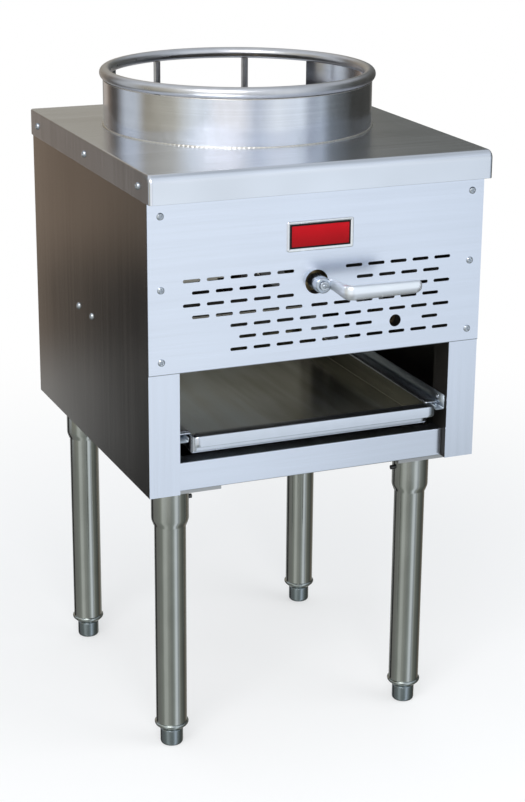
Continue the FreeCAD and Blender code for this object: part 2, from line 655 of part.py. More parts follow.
def front_panel():
    """The front panel: rows of vent slots, stem hole, pilot hole and a hem below."""
    body = sub_part("front_panel")
    wall = s.sheet_wall
    pad(body, "XZ", zero, wall, rectangle(-half_body, half_body, s.panel_bottom, panel_top))
    hem_side = post_inner - s.seat_gap
    pad(body, "XZ", wall / 2, s.panel_hem,
        rectangle(-hem_side, hem_side, s.panel_bottom, s.panel_bottom + wall))
    through(body, "XZ", zero, wall, (-s.valve_left, s.valve_height, s.lever_hole),
            (s.pilot_right, s.pilot_height, s.pilot_hole))
    hole = through(body, "XZ", zero, wall, (-s.panel_screw_side, s.panel_screw_bottom, screw_hole))
    repeat(body, [hole], row_of(body, "X", 2 * s.panel_screw_side, 2),
           row_of(body, "Z", 2 * s.panel_screw_pitch, 3))

    # The rows of slots from the bottom up. Each run is its first slot and its number of
    # slots, and the runs leave room for the lever, the pilot hole and the badge.
    half_pitch = s.slot_pitch / 2
    full_row = [(-7 * half_pitch, 10)]
    parted_row = [(-11 * half_pitch, 5), (3 * half_pitch, 5)]
    stagger_left = -s.slot_stagger - 4 * s.slot_pitch
    rows = [
        full_row,
        [(stagger_left + 2 * s.slot_pitch, 3), (zero, 3), (5 * s.slot_pitch, 1)],
        full_row,
        [(stagger_left, 5), (zero, 6)],
        parted_row,
        [(stagger_left, 4), (2 * s.slot_pitch, 4)],
        parted_row,
    ]
    for row, runs in enumerate(rows):
        sketch = new_sketch(body, "XZ", -s.overcut)
        for first, count in runs:
            for place in range(count):
                draw_slot(sketch, first + place * s.slot_pitch, s.slot_bottom + row * s.slot_row,
                          s.slot_length, s.slot_height)
        pocket(body, sketch, wall + 2 * s.overcut)


def corner_posts():
    """The four corner posts: folded channels, open towards the middle of the cabinet."""
    wall = s.sheet_wall
    leg = wall_inner - wall
    for name, side in (("left", -1), ("right", 1)):
        web = (-post_inner - wall, -post_inner) if side < 0 else (post_inner, post_inner + wall)

        front = sub_part(f"{name}_front_post")
        behind = post_face + wall
        section = [(half_body, post_face), (half_body, behind), (wall_inner, behind),
                   (wall_inner, post_face + s.post_outer), (leg, post_face + s.post_outer), (leg, behind),
                   (post_inner + wall, behind), (post_inner + wall, post_face + s.post_return),
                   (post_inner, post_face + s.post_return), (post_inner, post_face)]
        pad(front, "XY", s.base_height, panel_top, [(side * across, along) for across, along in section])
        hole = through(front, "XZ", post_face, behind,
                       (side * s.panel_screw_side, s.panel_screw_bottom, screw_hole))
        repeat(front, [hole], row_of(front, "Z", 2 * s.panel_screw_pitch, 3))
        through(front, "YZ", *web, (s.runner_front + s.runner_screw_inset, runner_screw_height(), screw_hole))

        rear = sub_part(f"{name}_rear_post")
        face = s.body_depth - wall - s.seat_gap
        behind = face - wall
        section = [(wall_inner, face), (wall_inner, face - s.post_outer), (leg, face - s.post_outer),
                   (leg, behind), (post_inner + wall, behind), (post_inner + wall, face - s.post_return),
                   (post_inner, face - s.post_return), (post_inner, face)]
        pad(rear, "XY", s.base_height, panel_top, [(side * across, along) for across, along in section])
        hole = through(rear, "XZ", behind, face,
                       (side * s.panel_screw_side, s.back_screw_bottom, screw_hole))
        repeat(rear, [hole], row_of(rear, "Z", 2 * s.back_screw_pitch, 3))
        through(rear, "YZ", *web, (s.runner_rear - s.runner_screw_inset, runner_screw_height(), screw_hole))


def base_rails():
    """The base: front and rear channels between the posts, and an angle along each side."""
    reach = post_inner - s.seat_gap
    top = s.base_height + s.rail_height
    for label, face, into in (("front_rail", s.rail_set, 1), ("rear_rail", s.body_depth - s.rail_set, -1)):
        body = sub_part(label)
        back = face + into * s.rail_sheet
        section = [(face, s.base_height), (face, top), (face + into * s.rail_top, top),
                   (face + into * s.rail_top, top - s.rail_sheet), (back, top - s.rail_sheet),
                   (back, s.base_height + s.rail_sheet),
                   (face + into * s.rail_foot, s.base_height + s.rail_sheet),
                   (face + into * s.rail_foot, s.base_height)]
        rail = pad(body, "YZ", -reach, reach, section)
        fillet(body, rail, s.rail_sheet, lambda low, high: near(low.y, face) and near(high.y, face)
               and near(low.z, high.z))
    front = post_face + s.post_return + s.seat_gap
    rear = s.body_depth - s.sheet_wall - s.seat_gap - s.post_return - s.seat_gap
    for label, side in (("left_base_rail", -1), ("right_base_rail", 1)):
        body = sub_part(label)
        inner = wall_inner - s.rail_sheet
        section = [(wall_inner, s.base_height), (wall_inner, s.base_height + s.base_rail_height),
                   (inner, s.base_height + s.base_rail_height), (inner, s.base_height + s.rail_sheet),
                   (post_inner, s.base_height + s.rail_sheet), (post_inner, s.base_height)]
        pad(body, "XZ", front, rear, [(side * across, along) for across, along in section])


def bottom_panel():
    """The bottom panel: a plain sheet that lies on the rails' lower flanges."""
    body = sub_part("bottom_panel")
    low = s.base_height + s.rail_sheet + s.seat_gap
    side = post_inner - s.seat_gap
    ahead = s.rail_set + s.rail_sheet + s.seat_gap
    pad(body, "XY", low, low + s.sheet_wall, rectangle(-side, side, ahead, s.body_depth - ahead))


def legs():
    """The legs: plate, socket, set-screw, tube, collar and a foot that screws in and out."""
    plates = sub_part("leg_mount_plates", x=-s.leg_side, y=s.leg_front)
    plate = pad(plates, "XY", plate_under, s.base_height,
                rectangle(-s.plate_half, s.plate_half, -s.plate_ahead, s.plate_behind))
    repeat(plates, [plate], row_of(plates, "X", 2 * s.leg_side, 2),
           row_of(plates, "Y", s.leg_rear - s.leg_front, 2))

    collars = sub_part("foot_collars", x=-s.leg_side, y=s.leg_front)
    plug = s.leg_radius - s.leg_wall - s.socket_fit
    bore = s.thread_radius + s.thread_fit
    edge = s.collar_band / 4
    collar = turned(collars, "XZ", "Z", [
        (bore, collar_under), (s.collar_nose, collar_under), (s.collar_radius, collar_under + s.collar_cone),
        (s.collar_radius, collar_seat - edge), (s.collar_radius - edge, collar_seat), (plug, collar_seat),
        (plug, collar_seat + s.collar_plug), (bore, collar_seat + s.collar_plug)])
    repeat(collars, [collar], row_of(collars, "X", 2 * s.leg_side, 2),
           row_of(collars, "Y", s.leg_rear - s.leg_front, 2))

    screws = sub_part("leg_set_screws", y=s.leg_front, z=s.leg_screw_height)
    tip = s.leg_side - s.leg_radius - s.seat_gap
    head = s.leg_side - s.socket_radius - s.leg_screw_out
    set_screw = pad(screws, "YZ", head, tip, (0, 0, s.leg_screw_radius))
    repeat(screws, [set_screw], mirrored(screws, "YZ"), row_of(screws, "Y", s.leg_rear - s.leg_front, 2))

    bore = s.leg_radius + s.socket_fit
    mouth = plate_under - s.socket_length
    crown = plate_under - s.socket_crown
    for place, side, back in (("front_left", -1, s.leg_front), ("front_right", 1, s.leg_front),
                              ("rear_left", -1, s.leg_rear), ("rear_right", 1, s.leg_rear)):
        socket = sub_part(f"leg_socket_{place}", x=side * s.leg_side, y=back)
        turned(socket, "XZ", "Z", [
            (bore, mouth), (bore + s.socket_mouth, mouth), (s.socket_radius, mouth + s.socket_taper),
            (s.socket_radius, plate_under), (0, plate_under), (0, crown), (bore, crown)])
        low, high = (bore, s.socket_radius) if side < 0 else (-s.socket_radius, -bore)
        through(socket, "YZ", low, high, (0, s.leg_screw_height, s.leg_screw_radius + s.seat_gap))

        tube = sub_part(f"leg_tube_{place}", x=side * s.leg_side, y=back)
        pad(tube, "XY", collar_seat, crown - s.seat_gap,
            (0, 0, s.leg_radius), (0, 0, s.leg_radius - s.leg_wall))

        foot = sub_part(f"foot_{place}", x=side * s.leg_side, y=back)
        bullet = turned(foot, "XZ", "Z", [
            (0, 0), (s.bullet_radius, 0), (s.bullet_radius, s.bullet_height),
            (s.thread_radius, s.bullet_height), (s.thread_radius, s.bullet_height + s.thread_length),
            (0, s.bullet_height + s.thread_length)])
        fillet(foot, bullet, s.bullet_round, lambda low, high: near(low.z, 0) and near(high.z, 0)
               and near(high.x, s.bullet_radius))


def runner_bottom():
    """Underside of the runners: the tray's hems run on their floors."""
    return s.tray_bottom + s.tray_depth - s.tray_hem - s.seat_gap - s.sheet_wall


def runner_top():
    return runner_bottom() + s.runner_height


def runner_screw_height():
    return runner_top() - s.runner_screw_drop


def drip_tray():
    """The drip tray: a folded pan with hemmed side flanges and a hand lip in front."""
    body = sub_part("drip_tray")
    top = s.tray_bottom + s.tray_depth
    rear = s.tray_front + s.tray_length
    block = pad(body, "XY", s.tray_bottom, top, rectangle(-s.tray_half, s.tray_half, s.tray_front, rear))
    rounded = fillet(body, block, s.tray_bend, lambda low, high: near(low.z, s.tray_bottom)
                     and near(high.z, s.tray_bottom))
    folded_shell(body, rounded, max, s.sheet_wall)
    root = s.tray_half - s.sheet_wall / 2
    outer = s.tray_half + s.tray_flange
    section = [(root, top), (outer, top), (outer, top - s.tray_hem), (outer - s.sheet_wall, top - s.tray_hem),
               (outer - s.sheet_wall, top - s.sheet_wall), (root, top - s.sheet_wall)]
    for side in (-1, 1):
        pad(body, "XZ", s.tray_front, rear, [(side * across, along) for across, along in section])
    lip_half = s.tray_half + s.tray_lip_side
    root = s.tray_front + s.sheet_wall / 2
    lip = pad(body, "YZ", -lip_half, lip_half, [
        (root, top), (0, top), (0, top - s.tray_lip), (s.sheet_wall, top - s.tray_lip),
        (s.sheet_wall, top - s.sheet_wall), (root, top - s.sheet_wall)])
    fillet(body, lip, s.tray_lip_corner, lambda low, high: near(low.z, top - s.tray_lip)
           and near(low.x, high.x) and near(low.y, 0) and near(high.y, s.sheet_wall))


def tray_runners():
    """The tray runners: folded channels screwed to the posts' inner legs."""
    outer = post_inner - s.seat_gap
    inner = outer - s.runner_width
    bottom = runner_bottom()
    wall = s.sheet_wall
    for label, side in (("left_tray_runner", -1), ("right_tray_runner", 1)):
        body = sub_part(label)
        section = [(outer, bottom), (outer, runner_top()), (outer - wall, runner_top()),
                   (outer - wall, bottom + wall), (inner + wall, bottom + wall),
                   (inner + wall, bottom + s.runner_lip), (inner, bottom + s.runner_lip), (inner, bottom)]
        channel = pad(body, "XZ", s.runner_front, s.runner_rear,
                      [(side * across, along) for across, along in section])
        fillet(body, channel, s.runner_bend, lambda low, high: near(low.z, bottom) and near(high.z, bottom)
               and near(low.x, high.x))
        web = (-outer, -outer + wall) if side < 0 else (outer - wall, outer)
        hole = through(body, "YZ", *web,
                       (s.runner_front + s.runner_screw_inset, runner_screw_height(), screw_hole))
        repeat(body, [hole], row_of(body, "Y", s.runner_rear - s.runner_front - 2 * s.runner_screw_inset, 2))


def screw_profile(seat, out, head, rise, length):
    """Half the outline of a pan-head screw: seat is where the head sits, out is +1 or -1."""
    return [(seat + out * rise, 0), (seat + out * rise, head * s.pan_flat),
            (seat + out * rise * s.pan_shoulder_rise, head * s.pan_shoulder), (seat, head),
            (seat, s.screw_shank), (seat - out * length, s.screw_shank), (seat - out * length, 0)]


def screws():
    """The panel screws: one group for each panel they hold."""
    head, rise, length = s.screw_head, s.screw_rise, s.screw_length
    front = sub_part("front_panel_screws", x=-s.panel_screw_side, z=s.panel_screw_bottom)
    screw = turned(front, "YZ", "Y", screw_profile(zero, -1, head, rise, length))
    repeat(front, [screw], row_of(front, "X", 2 * s.panel_screw_side, 2),
           row_of(front, "Z", 2 * s.panel_screw_pitch, 3))

    back = sub_part("back_panel_screws", x=-s.panel_screw_side, z=s.back_screw_bottom)
    screw = turned(back, "YZ", "Y", screw_profile(s.body_depth, 1, head, rise, length))
    repeat(back, [screw], row_of(back, "X", 2 * s.panel_screw_side, 2),
           row_of(back, "Z", 2 * s.back_screw_pitch, 3))

    cap = sub_part("cap_screws", y=s.cap_screw_front, z=s.deck_height - s.cap_screw_drop)
    screw = turned(cap, "XZ", "X", screw_profile(-s.cap_width / 2, -1, head, rise, length))
    repeat(cap, [screw], row_of(cap, "Y", 2 * s.cap_screw_pitch, 3), mirrored(cap, "YZ"))

    side = sub_part("side_panel_screws", y=s.bar_centre - s.bar_screw_space / 2,
                    z=s.bar_top - s.bar_screw_drop)
    screw = turned(side, "XZ", "X", screw_profile(-half_body, -1, head, rise, length))
    repeat(side, [screw], row_of(side, "Y", s.bar_screw_space, 2), mirrored(side, "YZ"))

    runner = sub_part("runner_screws", y=s.runner_front + s.runner_screw_inset, z=runner_screw_height())
    seat = -(post_inner - s.seat_gap - s.sheet_wall)
    screw = turned(runner, "XZ", "X",
                   screw_profile(seat, 1, s.runner_screw_head, s.runner_screw_rise, length))
    repeat(runner, [screw], row_of(runner, "Y", s.runner_rear - s.runner_front - 2 * s.runner_screw_inset, 2),
           mirrored(runner, "YZ"))


def burner_crossbar():
    """The crossbar that carries the burner: a channel with end tabs, screwed to the sides."""
    body = sub_part("burner_crossbar")
    low, high = s.bar_centre - s.bar_width / 2, s.bar_centre + s.bar_width / 2
    bottom = s.bar_top - s.bar_depth
    wall = s.rail_sheet
    pad(body, "YZ", -wall_inner, wall_inner, [
        (low, bottom), (low, s.bar_top), (high, s.bar_top), (high, bottom), (high - wall, bottom),
        (high - wall, s.bar_top - wall), (low + wall, s.bar_top - wall), (low + wall, bottom)])
    tab = rectangle(low + wall / 2, high - wall / 2, bottom, s.bar_top - wall / 2)
    pad(body, "YZ", -wall_inner, -wall_inner + wall, tab)
    pad(body, "YZ", wall_inner - wall, wall_inner, tab)
    through(body, "YZ", -wall_inner, wall_inner, *bar_screw_holes())


def burner():
    """The burner: a cast bowl and mixer tube in one, its jets, and the air shutter."""
    casting = sub_part("burner_casting", y=s.ring_back)
    rim = s.burner_top - s.burner_rim
    turned(casting, "XZ", "Z", [
        (0, s.valve_height), (s.neck_radius, s.valve_height), (s.neck_radius, rim - s.burner_bowl),
        (s.burner_radius - s.burner_rim, rim - s.burner_rim), (s.burner_radius, rim),
        (s.burner_radius, s.burner_top - s.burner_bevel), (s.burner_radius - s.burner_bevel, s.burner_top),
        (0, s.burner_top)])
    sketch = new_sketch(casting, "YZ", -s.valve_left)
    mouth = s.mixer_front - s.ring_back
    throat = mouth + s.mixer_bell
    level = s.valve_height
    draw(sketch, [[
        (mouth, level + s.mixer_mouth - s.mixer_wall), (mouth, level + s.mixer_mouth),
        (mouth + s.mixer_wall, level + s.mixer_mouth), (throat, level + s.mixer_throat),
        (-s.neck_radius, level + s.neck_radius), (s.neck_radius, level + s.neck_radius),
        (s.neck_radius, level), (-s.neck_radius, level), (throat, level + s.mixer_throat - s.mixer_wall)]])
    axis = sketch.addGeometry(Part.LineSegment(
        FreeCAD.Vector(mouth.number, level.number, 0), FreeCAD.Vector(0, level.number, 0)), True)
    hold(sketch, "DistanceY", axis, 1, level)
    hold(sketch, "DistanceY", axis, 2, level)
    mixer = casting.newObject("PartDesign::Revolution", "burner_casting_mixer")
    mixer.Profile = sketch
    mixer.ReferenceAxis = (sketch, ["Axis0"])
    mixer.Angle = 360
    foot_centre = s.bar_centre - s.ring_back
    foot_low, foot_high = foot_centre - s.foot_pad_depth / 2, foot_centre + s.foot_pad_depth / 2
    foot_top = s.bar_top + s.seat_gap + s.foot_pad_height
    pad(casting, "XY", s.bar_top + s.seat_gap, foot_top,
        rectangle(-s.foot_pad_width / 2, s.foot_pad_width / 2, foot_low, foot_high))
    pad(casting, "XY", foot_top - s.overcut, s.valve_height - s.mixer_throat + s.mixer_wall / 2,
        rectangle(-s.foot_web / 2, s.foot_web / 2, foot_low, foot_high))

    jets = sub_part("burner_tips", y=s.ring_back)
    for radius, count in ((s.tip_outer_ring, 12), (s.tip_inner_ring, 6)):
        base = pad(jets, "XY", s.burner_top, s.burner_top + s.tip_hex_height, hexagon(radius, s.tip_hex))
        stem = pad(jets, "XY", s.burner_top + s.tip_hex_height / 2, s.burner_top + s.tip_height,
                   (radius, 0, s.tip_radius))
        outlet = cut(jets, "XY", s.burner_top + s.tip_height / 2, s.burner_top + s.tip_height + s.overcut,
                     (radius, 0, s.tip_bore))
        circle_of(jets, count, [base, stem, outlet])

    shutter = sub_part("air_shutter", x=-s.valve_left, z=s.valve_height)
    front = s.mixer_front - s.seat_gap - s.shutter_sheet
    ports = [(s.shutter_port_ring * cosine(angle), s.shutter_port_ring * sine(angle), s.shutter_port)
             for angle in (0, 90, 180, 270)]
    pad(shutter, "XZ", front, front + s.shutter_sheet, (0, 0, s.mixer_mouth),
        (0, 0, s.hood_radius + s.seat_gap), *ports)


def gas_valve():
    """The gas valve with its orifice, and the stem, lever and screw that turn in it."""
    valve = sub_part("gas_valve_body", x=-s.valve_left, z=s.valve_height)
    pad(valve, "XZ", s.valve_front, s.valve_rear, (0, 0, s.valve_radius))
    pad(valve, "XZ", s.valve_rear - s.overcut, s.valve_rear + s.outlet_boss_length, (0, 0, s.outlet_boss))
    middle = (s.valve_front + s.valve_rear) / 2
    pad(valve, "YZ", zero, s.inlet_boss_out, (middle, 0, s.inlet_boss))
    cut(valve, "YZ", s.inlet_boss_out - s.elbow_socket, s.inlet_boss_out + s.overcut,
        (middle, 0, s.pipe_radius + s.pipe_fit))
    cut(valve, "XZ", s.valve_front - s.overcut, s.stem_in + s.seat_gap, (0, 0, s.stem_radius + s.stem_fit))
    start = s.valve_rear + s.outlet_boss_length

    orifice = sub_part("valve_orifice", x=-s.valve_left, z=s.valve_height)
    pad(orifice, "XZ", start, start + s.hood_hex_length, hexagon(0, s.hood_hex))
    pad(orifice, "XZ", start + s.hood_hex_length / 2, start + s.hood_length, (0, 0, s.hood_radius))
    cut(orifice, "XZ", start + s.hood_feed, start + s.hood_length + s.overcut, (0, 0, s.orifice_bore))

    stem = sub_part("valve_stem", x=-s.valve_left, z=s.valve_height)
    pad(stem, "XZ", -s.stem_out, s.stem_in, (0, 0, s.stem_radius))
    cut(stem, "XZ", -s.stem_out - s.overcut, -s.stem_out + s.lever_screw_length + s.overcut,
        (0, 0, s.lever_screw_shank + s.seat_gap))

    lever = sub_part("control_lever", x=-s.valve_left, z=s.valve_height)
    grip_front = -(s.grip_out + s.grip_thick / 2)
    grip_back = -(s.grip_out - s.grip_thick / 2)
    root, tip, end = s.arm_root_height / 2, s.grip_height / 2, s.grip_end_height / 2
    grip = pad(lever, "XZ", grip_front, grip_back, [
        (s.arm_inner, -tip), (s.grip_reach - s.grip_nose, -end), (s.grip_reach, s.grip_nose - end),
        (s.grip_reach, end - s.grip_nose), (s.grip_reach - s.grip_nose, end), (s.arm_inner, tip)])
    elbow = fillet(lever, grip, s.lever_elbow, lambda low, high: near(low.x, s.arm_inner)
                   and near(high.x, s.arm_inner) and near(low.y, grip_front) and near(high.y, grip_front))
    chamfer(lever, elbow, s.grip_chamfer, lambda low, high: high.x - low.x > s.grip_reach.number / 2)
    pad(lever, "YZ", s.arm_inner, s.arm_inner + s.arm_thick, [
        (-s.arm_back, -root), (-s.arm_back, root), (-s.lever_hub_front, root), (grip_back, tip),
        (grip_back - s.grip_thick / 4, tip), (grip_back - s.grip_thick / 4, -tip), (grip_back, -tip),
        (-s.lever_hub_front, -root)])
    pad(lever, "XZ", s.neck_step - s.lever_hub_front, -s.arm_back,
        rectangle(zero, s.arm_inner + s.arm_thick / 2, -root, root))
    bore = s.stem_radius + s.pipe_fit
    turned(lever, "YZ", "Y", [
        (-s.lever_hub_front, bore), (-s.lever_hub_front, s.lever_hub - s.lever_hub_bevel),
        (s.lever_hub_bevel - s.lever_hub_front, s.lever_hub), (s.lever_hub_back, s.lever_hub),
        (s.lever_hub_back, bore)])
    through(lever, "XZ", -s.lever_hub_front, -s.arm_back, (0, 0, bore))

    screw = sub_part("lever_screw", x=-s.valve_left, z=s.valve_height)
    seat = -s.lever_hub_front - s.seat_gap
    face = seat - s.washer_thick
    crown = face - s.lever_screw_rise
    turned(screw, "YZ", "Y", [
        (crown, 0), (crown, s.lever_screw_head * s.pan_flat), (face, s.lever_screw_head),
        (face, s.washer_radius - s.washer_bevel), (face + s.washer_bevel, s.washer_radius),
        (seat, s.washer_radius), (seat, s.lever_screw_shank),
        (seat + s.lever_screw_length, s.lever_screw_shank), (seat + s.lever_screw_length, 0)])


def gas_pipes():
    """The gas pipes: manifold, elbow and the inlet pipe that leaves at the back."""
    middle = (s.valve_front + s.valve_rear) / 2
    inner = s.pipe_radius - s.pipe_wall
    socket_radius = s.pipe_radius + s.pipe_fit

    manifold = sub_part("manifold_pipe", y=middle, z=s.valve_height)
    start = s.inlet_boss_out - s.valve_left - s.elbow_socket + s.seat_gap
    stop = s.pipe_right - s.elbow_arm + s.elbow_socket - s.seat_gap
    pad(manifold, "YZ", start, stop, (0, 0, s.pipe_radius), (0, 0, inner))

    elbow = sub_part("pipe_elbow", x=s.pipe_right, y=middle, z=s.valve_height)
    pad(elbow, "YZ", -s.elbow_arm, s.elbow_radius / 2, (0, 0, s.elbow_radius))
    pad(elbow, "XZ", -s.elbow_radius / 2, s.elbow_arm, (0, 0, s.elbow_radius))
    mouth = s.elbow_arm + s.overcut
    cut(elbow, "YZ", -mouth, -s.elbow_arm + s.elbow_socket, (0, 0, socket_radius))
    cut(elbow, "XZ", s.elbow_arm - s.elbow_socket, mouth, (0, 0, socket_radius))
    cut(elbow, "YZ", -mouth, zero, (0, 0, inner))
    cut(elbow, "XZ", zero, mouth, (0, 0, inner))

    inlet = sub_part("inlet_pipe", x=s.pipe_right, z=s.valve_height)
    start = middle + s.elbow_arm - s.elbow_socket + s.seat_gap
    shoulder = s.body_depth + s.inlet_out - s.inlet_thread
    turned(inlet, "YZ", "Y", [
        (start, inner), (start, s.pipe_radius), (shoulder, s.pipe_radius), (shoulder, s.inlet_thread_radius),
        (s.body_depth + s.inlet_out, s.inlet_thread_radius), (s.body_depth + s.inlet_out, inner)])


def pilot():
    """The pilot: its valve behind the round hole, two tubes and the pilot burner."""
    middle = (s.valve_front + s.valve_rear) / 2
    valve = sub_part("pilot_valve", x=s.pilot_right, z=s.pilot_height)
    pad(valve, "XZ", s.pilot_valve_front, s.pilot_valve_rear, (0, 0, s.pilot_valve_radius))
    pad(valve, "XY", zero, s.pilot_boss_out, (0, middle, s.pilot_tube_radius + s.pilot_boss_wall))
    cut(valve, "XZ", s.pilot_valve_front - s.overcut, s.pilot_valve_front + s.pilot_slot,
        (0, 0, s.pilot_valve_radius / 2))

    supply = sub_part("pilot_supply_tube", x=s.pilot_right, y=middle)
    pad(supply, "XY", s.pilot_height + s.pilot_boss_out + s.seat_gap,
        s.valve_height - s.pipe_radius - s.seat_gap, (0, 0, s.pilot_tube_radius))

    tube = sub_part("pilot_tube", x=s.pilot_right)
    start = s.pilot_valve_rear + s.seat_gap
    ring = new_sketch(tube, "XZ", start)
    draw(ring, [(0, s.pilot_height, s.pilot_tube_radius)])
    route = new_sketch(tube, "YZ", 0)
    bend_y, bend_z = s.pilot_back - s.pilot_bend, s.pilot_height + s.pilot_bend
    top = s.pilot_burner_bottom - s.seat_gap
    level = route.addGeometry(Part.LineSegment(
        FreeCAD.Vector(number_of(start), number_of(s.pilot_height), 0),
        FreeCAD.Vector(number_of(bend_y), number_of(s.pilot_height), 0)))
    centre = FreeCAD.Vector(number_of(bend_y), number_of(bend_z), 0)
    arc = route.addGeometry(Part.ArcOfCircle(
        Part.Circle(centre, FreeCAD.Vector(0, 0, 1), number_of(s.pilot_bend)), -math.pi / 2, 0))
    riser = route.addGeometry(Part.LineSegment(
        FreeCAD.Vector(number_of(s.pilot_back), number_of(bend_z), 0),
        FreeCAD.Vector(number_of(s.pilot_back), number_of(top), 0)))
    route.addConstraint(Sketcher.Constraint("Tangent", level, 2, arc, 1))
    route.addConstraint(Sketcher.Constraint("Tangent", arc, 2, riser, 1))
    hold(route, "DistanceX", level, 1, start)
    hold(route, "DistanceY", level, 1, s.pilot_height)
    hold(route, "DistanceX", arc, 3, bend_y)
    hold(route, "DistanceY", arc, 3, bend_z)
    hold(route, "DistanceX", riser, 2, s.pilot_back)
    hold(route, "DistanceY", riser, 2, top)
    pipe = tube.newObject("PartDesign::AdditivePipe", "pilot_tube_sweep")
    pipe.Profile = ring
    pipe.Spine = (route, [])

    tip = sub_part("pilot_burner", x=s.pilot_right, y=s.pilot_back)
    top = s.pilot_burner_bottom + s.pilot_burner_height
    turned(tip, "XZ", "Z", [
        (0, s.pilot_burner_bottom), (s.pilot_burner_radius, s.pilot_burner_bottom),
        (s.pilot_burner_radius, top - s.pilot_burner_radius), (s.pilot_burner_radius / 2, top), (0, top)])


def combustion_chamber():
    """The combustion chamber: a rolled sheet with a flange under the cap."""
    body = sub_part("combustion_chamber", y=s.ring_back, z=deck_under - s.seat_gap)
    inner = s.chamber_radius - s.chamber_sheet
    turned(body, "XZ", "Z", [
        (inner, -s.chamber_drop), (s.chamber_radius, -s.chamber_drop), (s.chamber_radius, -s.chamber_sheet),
        (s.chamber_radius + s.chamber_flange, -s.chamber_sheet), (s.chamber_radius + s.chamber_flange, 0),
        (inner, 0)])


def badge():
    """The badge: a chrome frame and the plain red plate in its recess."""
    body = sub_part("badge_frame", x=-s.badge_left, z=s.badge_centre)
    half_width, half_height = s.badge_width / 2, s.badge_height / 2
    block = pad(body, "XZ", -s.badge_thick, zero,
                rectangle(-half_width, half_width, -half_height, half_height))
    fillet(body, block, s.badge_corner, lambda low, high: near(low.x, high.x) and near(low.z, high.z))
    inner_width, inner_height = half_width - s.badge_border, half_height - s.badge_border
    cut(body, "XZ", -s.badge_thick - s.overcut, -s.badge_thick + s.badge_recess,
        rectangle(-inner_width, inner_width, -inner_height, inner_height))

    plate = sub_part("badge_plate", x=-s.badge_left, z=s.badge_centre)
    width, height = inner_width - s.seat_gap, inner_height - s.seat_gap
    floor = -s.badge_thick + s.badge_recess
    pad(plate, "XZ", floor - s.badge_plate_thick, floor, rectangle(-width, width, -height, height))


top_cap()
wok_ring()
side_panels()
back_panel()
front_panel()
corner_posts()
base_rails()
bottom_panel()
legs()
drip_tray()
tray_runners()
screws()
burner_crossbar()
burner()
gas_valve()
gas_pipes()
pilot()
combustion_chamber()
badge()
doc.recompute()

for item in doc.Objects:
    if "Invalid" in item.State or "Error" in item.State:
        raise RuntimeError(f"{item.Label} failed: {item.State}")
for body in sub_parts:
    if body.Shape.isNull() or not body.Shape.isValid() or not body.Shape.Solids:
        raise RuntimeError(f"{body.Label} has no valid shape")

os.makedirs("parts", exist_ok=True)
for body in sub_parts:
    body.Shape.exportStep(f"parts/{body.Label}.step")
print(f"{len(sub_parts)} sub-parts written")
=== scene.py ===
import math

import bpy
import numpy as np
from mathutils import Matrix, Vector


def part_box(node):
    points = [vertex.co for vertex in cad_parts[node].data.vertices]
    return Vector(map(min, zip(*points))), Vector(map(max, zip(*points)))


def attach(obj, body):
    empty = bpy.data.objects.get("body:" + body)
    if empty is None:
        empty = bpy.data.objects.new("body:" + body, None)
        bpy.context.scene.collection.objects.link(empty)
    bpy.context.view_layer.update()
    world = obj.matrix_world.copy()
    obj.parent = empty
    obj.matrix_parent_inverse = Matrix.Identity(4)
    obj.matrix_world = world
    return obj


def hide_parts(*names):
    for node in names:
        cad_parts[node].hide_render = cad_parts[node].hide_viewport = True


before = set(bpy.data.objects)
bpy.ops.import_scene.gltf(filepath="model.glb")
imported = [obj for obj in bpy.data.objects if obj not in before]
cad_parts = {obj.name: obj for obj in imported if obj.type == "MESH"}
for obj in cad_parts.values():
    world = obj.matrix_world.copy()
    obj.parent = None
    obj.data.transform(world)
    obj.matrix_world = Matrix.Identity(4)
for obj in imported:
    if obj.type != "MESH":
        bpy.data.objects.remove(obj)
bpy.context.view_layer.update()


# ------------------------------
# Side and back panels: plain sheets of stainless steel, brushed from top to bottom, that
# are screwed to the corner posts. Inside, a dull coat is painted near black on the sides,
# which is painted shade, and pale on the back, which is painted light.

class Wire:
    """A value in a material. Arithmetic on it adds the material's own Math nodes."""

    def __init__(self, finish, socket):
        self.finish = finish
        self.socket = socket

    def __add__(self, other):
        return self.finish.maths("ADD", self, other)

    __radd__ = __add__

    def __sub__(self, other):
        return self.finish.maths("SUBTRACT", self, other)

    def __rsub__(self, other):
        return self.finish.maths("SUBTRACT", other, self)

    def __mul__(self, other):
        return self.finish.maths("MULTIPLY", self, other)

    __rmul__ = __mul__

    def __truediv__(self, other):
        return self.finish.maths("DIVIDE", self, other)

    def __abs__(self):
        return self.finish.maths("ABSOLUTE", self, 0.0)


